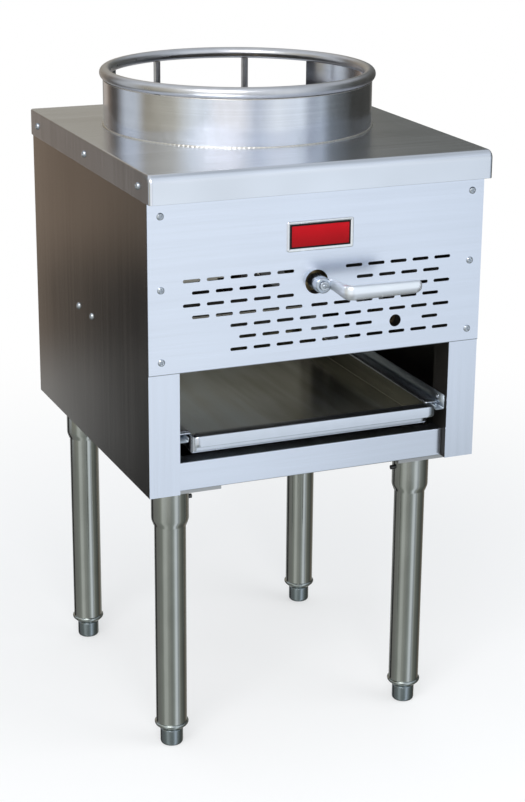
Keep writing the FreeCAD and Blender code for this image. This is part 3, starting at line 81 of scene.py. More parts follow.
class Finish:
    """A material of one Principled shader, and the nodes that feed it."""

    def __init__(self, name, color, metallic, roughness):
        self.material = bpy.data.materials.new(name)
        self.material.use_nodes = True
        self.tree = self.material.node_tree
        self.shader = self.tree.nodes["Principled BSDF"]
        self.set(**{"Base Color": (*color, 1), "Metallic": metallic, "Roughness": roughness})

    def node(self, kind, settings, sockets, output=0):
        """One node: its settings first, then the values or wires of its sockets."""
        node = self.tree.nodes.new(kind)
        for name, value in settings.items():
            if name == "stops":
                ramp = node.color_ramp
                while len(ramp.elements) < len(value):
                    ramp.elements.new(0.5)
                for element, (place, color) in zip(ramp.elements, value):
                    element.position = place
                    element.color = (*color, 1)
            else:
                setattr(node, name, value)
        for name, value in sockets.items():
            self.feed(node.inputs[name], value)
        return Wire(self, node.outputs[output])

    def feed(self, socket, value):
        """Link a wire to a socket, or write a plain value into it."""
        if isinstance(value, Wire):
            self.tree.links.new(value.socket, socket)
        else:
            socket.default_value = value

    def set(self, **sockets):
        """Feed the Principled shader's own sockets."""
        for name, value in sockets.items():
            self.feed(self.shader.inputs[name], value)

    def maths(self, operation, first, second):
        """One Math node."""
        return self.node("ShaderNodeMath", {"operation": operation}, {0: first, 1: second})

    def place(self, axis=None):
        """Where a point of the surface is on the range, in metres, or only along one axis."""
        point = self.node("ShaderNodeTexCoord", {}, {}, "Object")
        return point if axis is None else self.node("ShaderNodeSeparateXYZ", {}, {0: point}, axis)

    def noise(self, scales, detail, centre=(0, 0, 0)):
        """Cloudy noise with so many clouds to the metre along each axis, from 0 to 1."""
        vector = self.node("ShaderNodeMapping", {},
                           {"Vector": self.place(), "Scale": scales, "Location": centre})
        return self.node("ShaderNodeTexNoise", {}, {"Vector": vector, "Scale": 1.0, "Detail": detail})

    def between(self, value, low, high):
        """A smooth step from 0 to 1 while a value goes from low to high."""
        return self.node("ShaderNodeMapRange", {"interpolation_type": "SMOOTHSTEP"},
                         {"Value": value, "From Min": low, "From Max": high})

    def blend(self, factor, first, second):
        """A colour between two others."""
        return self.node("ShaderNodeMix", {"data_type": "RGBA"}, {0: factor, 6: first, 7: second}, 2)

    def bump(self, height, depth):
        """Relief of the surface, so many metres deep."""
        self.set(Normal=self.node("ShaderNodeBump", {},
                                  {"Height": height, "Distance": depth, "Strength": 1.0}))

    def show(self, shader):
        """Use this shader as the surface."""
        self.feed(self.tree.nodes["Material Output"].inputs["Surface"], shader)


def streaked(across, along, axes):
    """Noise scales of scratches that run along some axes."""
    return [along if axis in axes else across for axis in range(3)]


def brushed(name, color, axes, roughness, wave=0.0, wave_scale=(7, 7, 7), worn=0.08, dull_and_painted_side=None,
            painted_inner_tone=(0.016, 0.014, 0.012), seams=()):
    """Brushed steel: fine scratches and longer, fainter streaks along some axes, on a sheet that
    is a little cloudy and wavy. Worn is how much darker the streaks are. The dull and painted
    side is an axis, a place on it and the side of it where a dull coat covers the steel, in a
    painted colour: near black is painted shade, pale is painted light. Seams are places, each
    on an axis, where a fine dark line shows that two sheets meet."""
    finish = Finish(name, color, 1.0, roughness)
    scratch = finish.noise(streaked(1100, 12, axes), 1.0)
    streak = finish.noise(streaked(150, 2.5, axes), 2.0, (5, 5, 5))
    cloud = finish.noise((5, 5, 5), 2.0, (2, 7, 3))
    tone = scratch * 0.15 + streak * 0.4 + cloud * 0.45
    dark = tuple((1 - worn) * part for part in color)
    shade = finish.blend(finish.between(tone, 0.3, 0.7), (*dark, 1), (*color, 1))
    for along, line in seams:
        gap = finish.between(abs(finish.place(along) - line), 0.0011, 0.0003) * 0.8
        shade = finish.blend(gap, shade, (0.10, 0.11, 0.12, 1))
    dull = streak * 0.05 + cloud * 0.06 + (roughness - 0.055)
    if dull_and_painted_side:
        along, edge, side = dull_and_painted_side
        reach = abs(finish.place(along)) if side == "inside" else finish.place(along) * side
        # The coat's colour inside this face is painted: near black is painted shade, pale is painted light.
        inside = finish.between(reach, edge + 0.0002, edge - 0.0002)
        shade = finish.blend(inside, shade, (*painted_inner_tone, 1))
        dull = dull + inside * 0.25
        finish.set(Metallic=1 - inside * 0.7)
    finish.set(**{"Base Color": shade, "Roughness": dull})
    relief = scratch * 0.002 + streak * 0.003
    if wave:
        relief = relief + finish.noise(wave_scale, 1.0, (1, 4, 9)) * wave
    finish.bump(relief, 0.001)
    return finish.material


def dress(material, *names):
    """Give CAD pieces their finish."""
    for name in names:
        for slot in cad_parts[name].material_slots:
            slot.material = material


X, Y, Z = 0, 1, 2
SHEET = 0.0012
SIDE_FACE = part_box("right_side_panel")[1].x
BACK_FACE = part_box("back_panel")[1].y
# The side and back steel is painted darker and browner than the front's: painted reflection.
SIDE_REFLECTED_TONE = (0.66, 0.62, 0.58)

dress(brushed("side_steel", SIDE_REFLECTED_TONE, (Z,), 0.16, wave=0.5, wave_scale=(4, 4, 3), worn=0.1,
              dull_and_painted_side=(X, SIDE_FACE - SHEET / 2, "inside")), "left_side_panel", "right_side_panel")
# The back panel's inside is painted pale: painted light falling in through the front.
dress(brushed("back_steel", SIDE_REFLECTED_TONE, (Z,), 0.30, wave=0.1, dull_and_painted_side=(Y, BACK_FACE - SHEET / 2, 1),
              painted_inner_tone=(0.55, 0.54, 0.48)), "back_panel")


# ------------------------------
# Front panel, front posts and front rail: stainless steel, brushed along each piece. The panel
# is one sheet with punched slots, screwed to the posts; the rail closes the base.

FRONT_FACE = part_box("front_panel")[0].y
POST_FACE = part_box("left_front_post")[0].y
# The front steel is painted paler and bluer than the sides': painted reflection.
FRONT_REFLECTED_TONE = (0.84, 0.885, 0.985)

PANEL_FOOT = (Z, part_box("front_panel")[0].z)
RAIL_ENDS = ((X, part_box("left_front_post")[1].x), (X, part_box("right_front_post")[0].x))

# The inside faces of the panel and posts are painted near black: painted shade.
dress(brushed("front_steel", FRONT_REFLECTED_TONE, (X,), 0.24, wave=0.4, wave_scale=(5, 5, 3), seams=(PANEL_FOOT,),
              dull_and_painted_side=(Y, -FRONT_FACE - SHEET / 2, -1)), "front_panel")
dress(brushed("post_steel", FRONT_REFLECTED_TONE, (Z,), 0.25, seams=(PANEL_FOOT,),
              dull_and_painted_side=(Y, -POST_FACE - SHEET / 2, -1)), "left_front_post", "right_front_post")
dress(brushed("rail_steel", FRONT_REFLECTED_TONE, (X,), 0.25, wave=0.1, seams=RAIL_ENDS), "front_rail")


# ------------------------------
# Base and rear frame: folded channels and angles of mill-finish stainless steel, spot-welded
# into a frame, with the bottom sheet on them and the leg plates screwed underneath.

dress(brushed("frame_steel", (0.50, 0.49, 0.47), (Z,), 0.36), "left_rear_post", "right_rear_post",
      "rear_rail", "left_base_rail", "right_base_rail")
dress(brushed("plate_steel", (0.50, 0.50, 0.50), (X,), 0.34), "leg_mount_plates")
# The bottom sheet and crossbar are painted near black: painted shade inside the base.
dress(brushed("painted_shade_steel", (0.05, 0.045, 0.04), (X,), 0.5), "bottom_panel", "burner_crossbar")


# ------------------------------
# Legs: stainless tubes of 1 5/8 inch, pushed into turned sockets and held by a set-screw.
# The sockets end in a short taper. Sheen from the polishing wheel runs along both.

ENDS = [(f"{end}_{side}", end[0] + side[0]) for end in ("front", "rear") for side in ("left", "right")]


def skin(name, *grids, around=True, along=False, lids=True, sharp=40):
    """Cover grids of points with faces. Rows go along a piece and columns go round it, to the
    left of the way the rows go, so the faces point outwards. Lids close the first and last row."""
    points, faces = [], []
    for grid in grids:
        rows, columns = grid.shape[:2]
        index = np.arange(rows * columns).reshape(rows, columns) + sum(len(part) for part in points)
        if along:
            index = np.vstack([index, index[:1]])
        if around:
            index = np.hstack([index, index[:, :1]])
        corners = [index[:-1, :-1], index[:-1, 1:], index[1:, 1:], index[1:, :-1]]
        faces += np.stack(corners, -1).reshape(-1, 4).tolist()
        if lids and not along:
            faces += [index[0, :columns][::-1].tolist(), index[-1, :columns].tolist()]
        points.append(grid.reshape(-1, 3))
    mesh = bpy.data.meshes.new(name)
    mesh.from_pydata(np.concatenate(points).tolist(), [], faces)
    mesh.shade_smooth()
    mesh.set_sharp_from_angle(angle=math.radians(sharp))
    piece = bpy.data.objects.new(name, mesh)
    bpy.context.scene.collection.objects.link(piece)
    return piece


def lathe(profile, centre, out=(0, 0, 1), segments=64):
    """A profile of radius and height, turned about an axis: the centre, plus the height along
    the axis, plus the radius times the cosine and sine of each angle across it."""
    radius, height = np.array(profile, float).T
    out = np.array(out, float)
    first = np.array((1.0, 0, 0)) if abs(out[0]) < 0.5 else np.array((0, 1.0, 0))
    second = np.cross(out, first)
    turn = np.linspace(0, 2 * np.pi, segments, endpoint=False)
    across = np.cos(turn)[:, None] * first + np.sin(turn)[:, None] * second
    return np.array(centre) + height[:, None, None] * out + radius[:, None, None] * across


def rounded(corners, radii, steps=6):
    """An open outline with rounded corners. Each corner becomes a quadratic curve between the
    points that lie its radius before and after it."""
    corners = np.array(corners, float)
    t = np.linspace(0, 1, steps + 1)[:, None]
    runs = [corners[:1]]
    for before, corner, after, radius in zip(corners, corners[1:], corners[2:], radii):
        start = corner + (before - corner) / np.linalg.norm(before - corner) * radius
        stop = corner + (after - corner) / np.linalg.norm(after - corner) * radius
        runs.append((1 - t) ** 2 * start + 2 * t * (1 - t) * corner + t ** 2 * stop)
    return np.vstack(runs + [corners[-1:]])


def mount(piece, material, body, slot, *nodes):
    """Finish a new piece, let it ride on a body, and show it in place of its CAD nodes."""
    piece.data.materials.append(material)
    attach(piece, body)
    if nodes:
        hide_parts(*nodes)


def axis_of(node):
    """The upright middle line of a CAD node: its x and y."""
    low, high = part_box(node)
    return (low.x + high.x) / 2, (low.y + high.y) / 2


def polished(name, color, roughness, wave=0.1, wave_scale=(30, 30, 2), axes=(Z,)):
    """Polished tube or band: fine scratches along some axes, faint handling marks and a slightly
    wavy wall."""
    finish = Finish(name, color, 1.0, roughness)
    scratch = finish.noise(streaked(1500, 6, axes), 1.0)
    streak = finish.noise(streaked(170, 1.2, axes), 2.0, (3, 3, 3))
    mark = finish.noise((60, 60, 25), 3.0, (8, 1, 1))
    tone = scratch * 0.2 + streak * 0.4 + mark * 0.4
    dark = tuple(0.87 * part for part in color)
    finish.set(**{"Base Color": finish.blend(finish.between(tone, 0.32, 0.68), (*dark, 1), (*color, 1)),
                  "Roughness": streak * 0.06 + mark * 0.08 + (roughness - 0.07)})
    finish.bump(scratch * 0.001 + finish.noise(wave_scale, 1.0) * wave, 0.001)
    return finish.material


LEG_STEEL = polished("leg_steel", (0.60, 0.61, 0.58), 0.13)
MOUTH_TAPER = 0.007
MOUTH_LIP = 0.0012
TUBE_WALL = 0.0012
TUBE_EDGE = 0.0003
SOCKET_FIT = 0.00015
SOCKET_CROWN = 0.004

for place, short in ENDS:
    x, y = axis_of(f"leg_tube_{place}")
    low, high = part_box(f"leg_tube_{place}")
    radius = (high.x - low.x) / 2
    tube = skin(f"leg_tube_{short}", lathe(
        [(radius - TUBE_WALL, low.z), (radius - TUBE_EDGE, low.z), (radius, low.z + TUBE_EDGE),
         (radius, high.z), (radius - TUBE_WALL, high.z)], (x, y, 0)), along=True)
    mount(tube, LEG_STEEL, "cabinet", "leg_steel", f"leg_tube_{place}")
    low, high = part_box(f"leg_socket_{place}")
    outer = (high.x - low.x) / 2
    socket = skin(f"leg_socket_{short}", lathe(
        [(radius + SOCKET_FIT, low.z), (radius + MOUTH_LIP, low.z), *rounded(
            [(radius + MOUTH_LIP, low.z + 0.0004), (outer, low.z + MOUTH_TAPER), (outer, low.z + 0.02)],
            [0.003])[1:], (outer, high.z), (SOCKET_CROWN, high.z), (SOCKET_CROWN, high.z - SOCKET_CROWN),
         (radius + SOCKET_FIT, high.z - SOCKET_CROWN)], (x, y, 0)), along=True)
    mount(socket, LEG_STEEL, "cabinet", "leg_steel", f"leg_socket_{place}")

dress(brushed("set_screw_steel", (0.10, 0.10, 0.10), (X,), 0.35), "leg_set_screws")


# ------------------------------
# Feet: cast bullet feet on threaded stems that screw into collars, to level the range. The
# collars are pressed into the tubes, and each ends in a thin bright lip.

THREAD_PITCH = 0.00175
THREAD_DEPTH = 0.0009
FOOT_STEEL = polished("foot_steel", (0.38, 0.43, 0.46), 0.22)
COLLAR_STEEL = polished("collar_steel", (0.56, 0.60, 0.59), 0.2)
FOOT_STEM, FOOT_NECK, FOOT_GAP = 0.008, 0.0085, 0.0003
COLLAR_BORE, COLLAR_PLUG, COLLAR_SEAT = 0.00835, 0.0193, 0.0105
COLLAR_NOSE = [(0.0155, 0), (0.0227, 0.0068), (0.0227, 0.0102), (0.0215, COLLAR_SEAT)]


def threaded(radius, low, high, centre, out=(0, 0, 1), segments=24):
    """A screw thread: the radius falls and rises once in a pitch, with the height less the
    turned angle's share of the pitch, so the crest climbs as a helix."""
    rows_to_a_pitch = 6
    rows = int((high - low) / THREAD_PITCH * rows_to_a_pitch)
    height = np.linspace(low, high, rows)
    grid = lathe(np.column_stack([np.ones(rows), height]), (0, 0, 0), out, segments)
    out = np.array(out, float)
    core = height[:, None, None] * out
    turn = np.arange(segments) / segments
    phase = (height[:, None] / THREAD_PITCH - turn) % 1
    depth = THREAD_DEPTH * np.abs(2 * phase - 1)
    return np.array(centre) + core + (grid - core) * (radius - depth)[:, :, None]


for place, short in ENDS:
    x, y = axis_of(f"foot_{place}")
    low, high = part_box(f"foot_{place}")
    radius = (high.x - low.x) / 2
    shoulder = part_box("foot_collars")[0].z - FOOT_GAP
    bullet = lathe(rounded([(0.003, low.z), (radius, low.z), (radius, shoulder), (FOOT_NECK, shoulder)],
                           [0.005, 0.0012]), (x, y, 0))
    foot = skin(f"bullet_foot_{short}", bullet, threaded(FOOT_STEM, shoulder - 0.0005, high.z, (x, y, 0)))
    mount(foot, FOOT_STEEL, f"foot_{short}", "foot_steel", f"foot_{place}")

low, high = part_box("foot_collars")
nose = rounded([(radius, low.z + height) for radius, height in COLLAR_NOSE], [0.002, 0.0012])
profile = [(COLLAR_BORE, low.z), *nose, (COLLAR_PLUG, low.z + COLLAR_SEAT), (COLLAR_PLUG, high.z),
           (COLLAR_BORE, high.z)]
collar = skin("foot_collar_set", *(lathe(profile, (*axis_of(f"foot_{place}"), 0), segments=72)
                                   for place, short in ENDS), along=True)
mount(collar, COLLAR_STEEL, "cabinet", "collar_steel", "foot_collars")


# ------------------------------
# Cap: one folded sheet of stainless steel over the cabinet, with a bullnose in front and
# tight bends at the sides and the back. Its corners are welded and ground round.

CAP_NOSE = 0.011
CAP_BEND = 0.0025
CAP_CORNER = 0.0045
CAP_SHEET = 0.002
DECK_HOLE = 0.170
RING_CENTRE = axis_of("wok_ring_rim")


def round_rectangle(left, right, low, high, radius):
    """Points round a rectangle with round corners, counterclockwise from its right side: a
    quarter circle at each corner, and even steps along the side to the next."""
    arc = np.linspace(0, np.pi / 2, 9)
    straight = np.concatenate([[0.002], np.linspace(0, 1, 25)[1:-1], [0.998]])[:, None]
    centres = np.array([(right - radius, high - radius), (left + radius, high - radius),
                        (left + radius, low + radius), (right - radius, low + radius)])
    runs = []
    for step in range(4):
        turn = arc + step * np.pi / 2
        runs.append(centres[step] + radius * np.column_stack([np.cos(turn), np.sin(turn)]))
        following = runs[-1][-1] + centres[(step + 1) % 4] - centres[step]
        runs.append(runs[-1][-1] + straight * (following - runs[-1][-1]))
    return np.vstack(runs)


def cap_sheet():
    """The cap's outside. Round the edge, each column starts at a point of a rectangle with
    round corners and goes up the skirt, over a bend and across the deck to the round hole. The
    bend is a quarter of an ellipse between that rectangle and the deck's own, smaller one,
    which lies further back in front, where the nose is."""
    low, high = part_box("top_cap")
    skirt = round_rectangle(low.x, high.x, low.y, high.y, CAP_CORNER)
    deck = round_rectangle(low.x + CAP_BEND, high.x - CAP_BEND, low.y + CAP_NOSE, high.y - CAP_BEND,
                           CAP_CORNER / 2)
    ahead = np.clip((low.y + 2 * CAP_CORNER - skirt[:, 1]) / (2 * CAP_CORNER), 0, 1)
    bend = CAP_BEND + (CAP_NOSE - CAP_BEND) * ahead ** 0.5
    edge, under_bend = 0.0003, 0.0005
    rows = [(skirt, np.full(len(skirt), low.z)), (skirt, np.full(len(skirt), low.z + edge)),
            (skirt, high.z - bend - under_bend)]
    for angle in np.linspace(0, np.pi / 2, 13):
        rows.append((skirt + (deck - skirt) * (1 - math.cos(angle)), high.z - bend * (1 - math.sin(angle))))
    toward = deck - np.array(RING_CENTRE)
    rim = np.array(RING_CENTRE) + toward / np.linalg.norm(toward, axis=1)[:, None] * DECK_HOLE
    for share in (0.01, 0.1, 0.3, 0.5, 0.7, 0.9, 1.0):
        rows.append((deck + (rim - deck) * share, np.full(len(deck), high.z)))
    return np.stack([np.column_stack([place, height]) for place, height in rows])


def folded(piece, thickness=SHEET, offset=0):
    """Give a sheet its thickness: half on each side, or all of it inwards where the offset is -1."""
    modifier = piece.modifiers.new("sheet", "SOLIDIFY")
    modifier.thickness = thickness
    modifier.offset = offset


cap = skin("cap_sheet", cap_sheet(), lids=False, sharp=50)
folded(cap, CAP_SHEET, -1)
mount(cap, brushed("deck_steel", (0.88, 0.915, 0.985), (X, Z), 0.24, wave=0.3, wave_scale=(4, 6, 4),
                   worn=0.2), "cabinet", "deck_steel", "top_cap")


# ------------------------------
# Wok ring: a sheet rolled to a round wall, open at the back, with a rim of round tube on it
# and two rods in the opening. Rippled weld beads join the wall to the cap and to the rim.

RING_STEEL = polished("ring_steel", (0.80, 0.82, 0.88), 0.15, wave=0.4, wave_scale=(9, 9, 5), axes=(X, Y))
RIM_STEEL = polished("rim_steel", (0.72, 0.72, 0.74), 0.30, wave=0.02, axes=(X, Y))
WALL_RADIUS = 0.179
WALL_ENDS = (math.radians(137.6), math.radians(395.0))
RIM_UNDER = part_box("wok_ring_wall")[1].z
FOOT_BEAD, RIM_BEAD = 0.0016, 0.0006

dress(RING_STEEL, "wok_ring_wall")
dress(RIM_STEEL, "wok_ring_rim", "wok_ring_posts")


def bead(radius, height, size, ripples):
    """A weld bead along the wall: a thin tube round an arc. It swells and falls with each
    ripple, and the ripples lag at the tube's sides, which makes the scales of a run weld."""
    turn = np.linspace(*WALL_ENDS, ripples * 8)[:, None]
    section = np.linspace(0, 2 * np.pi, 10, endpoint=False)[None, :]
    share = (turn - WALL_ENDS[0]) / (WALL_ENDS[1] - WALL_ENDS[0])
    phase = share * ripples * np.pi + 0.6 * np.cos(section)
    swell = size * (0.70 + 0.30 * np.abs(np.sin(phase)) + 0.12 * np.sin(share * 61))
    reach = radius + swell * np.cos(section)
    x, y = RING_CENTRE
    return np.stack([x + reach * np.cos(turn), y + reach * np.sin(turn),
                     height - swell * np.sin(section)], -1)


weld_steel = polished("weld_steel", (0.78, 0.75, 0.69), 0.3)
welds = skin("ring_welds", bead(WALL_RADIUS + 0.0002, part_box("top_cap")[1].z + 0.0002, FOOT_BEAD, 130),
             bead(WALL_RADIUS, RIM_UNDER - 0.0001, RIM_BEAD, 150), sharp=80)
mount(welds, weld_steel, "cabinet", "ring_steel")


# ------------------------------
# Burner and chamber: a bowl and mixer tube cast in one piece of iron, with drilled brass jets
# and a steel air shutter, in a chamber rolled from sheet that heat has turned blue and brown.

cast = Finish("cast_iron", (0.055, 0.052, 0.05), 0.0, 0.8)
grain = cast.noise((900, 900, 900), 3.0)
rust = cast.between(cast.noise((35, 35, 35), 5.0, (4, 4, 4)), 0.52, 0.68)
cast.set(**{"Base Color": cast.blend(rust, cast.blend(grain, (0.03, 0.03, 0.03, 1), (0.085, 0.08, 0.078, 1)),
                                     (0.13, 0.06, 0.03, 1)),
            "Roughness": grain * 0.2 + 0.65})
cast.bump(grain, 0.0004)
dress(cast.material, "burner_casting")


def brass(name, color, roughness):
    """Brass: yellow metal with brown tarnish in cloudy patches and fine turning marks."""
    finish = Finish(name, color, 1.0, roughness)
    tarnish = finish.between(finish.noise((90, 90, 90), 4.0), 0.45, 0.7)
    ring = finish.noise(streaked(200, 2500, (Y,)), 1.0)
    brown = tuple(0.42 * part for part in color)
    finish.set(**{"Base Color": finish.blend(tarnish, (*color, 1), (*brown, 1)),
                  "Roughness": tarnish * 0.25 + ring * 0.1 + (roughness - 0.05)})
    finish.bump(ring, 0.00001)
    return finish.material


heated = Finish("chamber_steel", (0.30, 0.27, 0.24), 1.0, 0.4)
soot = heated.between(heated.noise((14, 14, 9), 5.0), 0.35, 0.7)
tint = heated.node("ShaderNodeValToRGB", {"stops": [(0.0, (0.05, 0.04, 0.035)), (0.45, (0.14, 0.09, 0.06)),
                                                   (0.7, (0.16, 0.17, 0.24)), (1.0, (0.35, 0.33, 0.31))]},
                   {0: heated.between(heated.place(Z) + heated.noise((9, 9, 9), 3.0) * 0.03, 0.69, 0.82)})
heated.set(**{"Base Color": heated.blend(soot, tint, (0.012, 0.011, 0.010, 1)),
              "Roughness": soot * 0.35 + 0.35})
heated.bump(heated.noise((400, 400, 60), 2.0), 0.00005)
dress(heated.material, "combustion_chamber")
dress(brass("jet_brass", (0.66, 0.47, 0.22), 0.32), "burner_tips", "valve_orifice")
# The pilot's brass is painted near black: painted shade in the pilot's hole.
dress(brass("painted_shade_brass", (0.16, 0.12, 0.07), 0.5), "pilot_burner", "pilot_valve")
dress(brushed("shutter_steel", (0.48, 0.48, 0.47), (X,), 0.35), "air_shutter")


# ------------------------------
# Gas train: black iron pipe with an elbow, a brass plug valve behind the panel, and thin
# aluminium tubes to the pilot. The pipe leaves at the back with a threaded end.

iron = Finish("pipe_black", (0.035, 0.034, 0.033), 0.0, 0.5)
scale = iron.noise((160, 160, 160), 4.0)
wear = iron.between(iron.noise((30, 30, 30), 4.0, (6, 6, 6)), 0.55, 0.75)
iron.set(**{"Base Color": iron.blend(wear, iron.blend(scale, (0.02, 0.02, 0.02, 1), (0.05, 0.048, 0.046, 1)),
                                     (0.11, 0.075, 0.05, 1)),
            "Roughness": scale * 0.25 + 0.38})
iron.bump(scale, 0.0002)
dress(iron.material, "manifold_pipe", "pipe_elbow", "inlet_pipe")
dress(brass("valve_brass", (0.60, 0.45, 0.24), 0.34), "gas_valve_body")
dress(brushed("pilot_alloy", (0.72, 0.73, 0.74), (Y,), 0.33), "pilot_supply_tube", "pilot_tube")

THREAD_LENGTH, THREAD_RADIUS = 0.020, 0.0131
PIPE_BORE, PIPE_RADIUS = 0.01045, 0.01335
PIPE_UNDERCUT, PIPE_MOUTH = 0.0125, 0.0122
low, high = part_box("inlet_pipe")
inlet_middle = ((low.x + high.x) / 2, 0, (low.z + high.z) / 2)
shoulder = high.y - THREAD_LENGTH
shank = lathe([(PIPE_BORE, low.y), (PIPE_RADIUS, low.y), (PIPE_RADIUS, shoulder - 0.0006),
               (PIPE_UNDERCUT, shoulder)], inlet_middle, (0, 1, 0), 40)
thread = threaded(THREAD_RADIUS, shoulder, high.y - 0.001, inlet_middle, (0, 1, 0), 40)
mouth = lathe([(PIPE_MOUTH, high.y), (PIPE_BORE, high.y)], inlet_middle, (0, 1, 0), 40)
inlet = skin("inlet_nipple", np.concatenate([shank, thread, mouth]), along=True)
mount(inlet, iron.material, "cabinet", "pipe_black", "inlet_pipe")


# ------------------------------
# Control lever: an alloy casting with a round hub on the valve's stem, an arm that comes
# forward and a grip bent to the right, held by one screw with a broad washer face.

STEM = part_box("valve_stem")
STEM_X, STEM_Z = (STEM[0].x + STEM[1].x) / 2, (STEM[0].z + STEM[1].z) / 2
GRIP_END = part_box("control_lever")[1].x - STEM_X
HUB_RADIUS, HUB_BORE = 0.0102, 0.0067
HUB_BACK, HUB_FRONT = -0.006, 0.022


def alloy(name, color, roughness, middle=None, metallic=1.0):
    """Cast and tumbled alloy: soft cloudy tone, fine pits and a few duller rubbed patches. Below
    a given middle height it is painted darker: painted shade on the underside."""
    finish = Finish(name, color, metallic, roughness)
    cloud = finish.noise((30, 30, 30), 3.0)
    pit = finish.noise((700, 700, 700), 2.0, (3, 3, 3))
    rub = finish.between(finish.noise((20, 60, 60), 3.0, (9, 1, 4)), 0.48, 0.7)
    dark = tuple(0.90 * part for part in color)
    shade = finish.blend(cloud, (*dark, 1), (*color, 1))
    if middle is not None:
        # Painted shade: darker below the middle height.
        painted_shade_under = finish.between(finish.place(Z), middle + 0.0015, middle - 0.0025)
        shade = finish.blend(painted_shade_under, shade, (*(0.66 * part for part in color), 1))
    finish.set(**{"Base Color": shade, "Roughness": rub * 0.10 + pit * 0.06 + (roughness - 0.06)})
    finish.bump(pit * 0.008 + cloud * 0.02, 0.001)
    return finish.material


def lever_bar():
    """Neck, arm and grip: a superellipse carried along the lever's middle line. The line leaves
    the hub to the right, turns forward, turns right again and runs on to the end. Half width
    and half height grow from neck to grip and shrink a little towards the end, where the top
    closes in as a small quarter circle does and the underside as a large one. The power, 2.6,
    lies between an ellipse and a box."""
    start, neck, arm, forward = 0.004, -0.014, 0.0135, -0.065
    neck_bend, bend, top_end, under_end = 0.006, 0.0085, 0.0055, 0.0115
    power, straight = 2.6, 8
    turn = np.linspace(0, np.pi / 2, 12)
    first = np.array([arm - neck_bend, neck - neck_bend]) + neck_bend * np.column_stack(
        [np.sin(turn), np.cos(turn)])
    between = np.linspace(first[-1, 1], forward + bend, straight + 2)[1:-1]
    second = np.array([arm + bend, forward + bend]) - bend * np.column_stack([np.cos(turn), np.sin(turn)])
    last = GRIP_END - under_end
    grip = np.concatenate([np.linspace(arm + bend, last, 16)[1:],
                           last + under_end * np.sin(np.linspace(0, 1.55, 20))[1:]])
    line = np.vstack([(start, neck), first, np.column_stack([np.full(straight, arm), between]), second,
                      np.column_stack([grip, np.full(len(grip), forward)])])
    ahead = np.gradient(line, axis=0)
    ahead /= np.linalg.norm(ahead, axis=1)[:, None]
    left = np.column_stack([-ahead[:, 1], ahead[:, 0]])
    run = np.concatenate([[0], np.cumsum(np.linalg.norm(np.diff(line, axis=0), axis=1))])
    shoulder = run[len(first)]
    elbow = run[len(first) + straight + len(second) // 2]
    grown = np.clip((run - shoulder) / (elbow - shoulder), 0, 1)
    width = 0.0046 - 0.0004 * np.clip(run / shoulder, 0, 1) + 0.0018 * grown ** 2
    height = 0.0070 + 0.0023 * grown - 0.0013 * np.clip((run - elbow) / (run[-1] - elbow), 0, 1)
    section = np.linspace(0, 2 * np.pi, 40, endpoint=False)
    sideways, upward = (np.sign(way) * np.abs(way) ** (2 / power)
                        for way in (np.cos(section), np.sin(section)))
    reach = (top_end + under_end) / 2 + (top_end - under_end) / 2 * upward
    closing = np.sqrt(1 - np.clip((line[:, :1] - GRIP_END + reach) / (reach * 1.002), 0, 1) ** 2)
    plan = line[:, None] + (width[:, None] * closing * sideways)[:, :, None] * left[:, None]
    level = height[:, None] * closing * upward
    return np.stack([STEM_X + plan[:, :, 0], FRONT_FACE + plan[:, :, 1], STEM_Z + level], -1)


LEVER_ALLOY = alloy("lever_alloy", (0.82, 0.86, 0.91), 0.32, middle=STEM_Z, metallic=0.82)
# The hub and stem take a darker, bluer copy of the lever's alloy: painted shade.
HUB_SHADED_ALLOY = alloy("hub_shaded_alloy", (0.56, 0.62, 0.70), 0.24)
lever = skin("lever_bar", lever_bar(), sharp=70)
mount(lever, LEVER_ALLOY, "lever", "lever_alloy", "control_lever")
hub = skin("lever_hub", lathe(
    rounded([(HUB_BORE, HUB_BACK), (HUB_RADIUS, HUB_BACK), (HUB_RADIUS, HUB_FRONT), (HUB_BORE, HUB_FRONT)],
            [0.0006, 0.0024]), (STEM_X, FRONT_FACE, STEM_Z), (0, -1, 0), 72), along=True)
mount(hub, HUB_SHADED_ALLOY, "lever", "lever_alloy", "control_lever")
dress(HUB_SHADED_ALLOY, "valve_stem")


# ------------------------------
# Screws: stainless pan-head screws with a cross recess. Six hold the front panel, six the
# back panel and six the cap; two on each side carry the crossbar, and two each runner.

HEAD = 0.0046
HEAD_RISE = 0.0024


def pan_head(seat, out, radius, rise, turned, shank=0.008):
    """A screw: its shank, then a head whose height falls from the middle as the square root of
    one less the fourth power of the radius. A cross is pressed in: its depth falls off from the
    nearer of two middle lines, and towards the ends of its arms. The first four rows, shank and
    edge, stay plain."""
    # The cross in shares of the head's radius and rise.
    arm, arm_edge, end, end_edge, depth = 0.15, 0.08, 0.58, 0.12, 0.55
    share = np.concatenate([[1.0, 1.0], np.sin(np.linspace(np.pi / 2, 0.004, 17))[1:]])
    height = rise * np.sqrt(np.clip(1 - share ** 4, 0, 1))
    profile = np.vstack([[(0.5 * radius, -shank), (0.5 * radius, 0.0)],
                         np.column_stack([radius * share, height])])
    profile[2] = (radius, 0)
    profile[3] = (radius, 0.15 * rise)
    columns = 32
    grid = lathe(profile, seat, out, columns)
    turn = np.linspace(0, 2 * np.pi, columns, endpoint=False) + turned
    reach = profile[:, 0][:, None] / radius
    offsets = np.abs(reach * np.cos(turn)), np.abs(reach * np.sin(turn))
    near, far = np.minimum(*offsets), np.maximum(*offsets)
    cross = np.clip((arm - near) / arm_edge, 0, 1) * np.clip((end - far) / end_edge, 0, 1)
    cross[:4] = 0
    return grid - depth * rise * cross[:, :, None] * np.array(out, float)


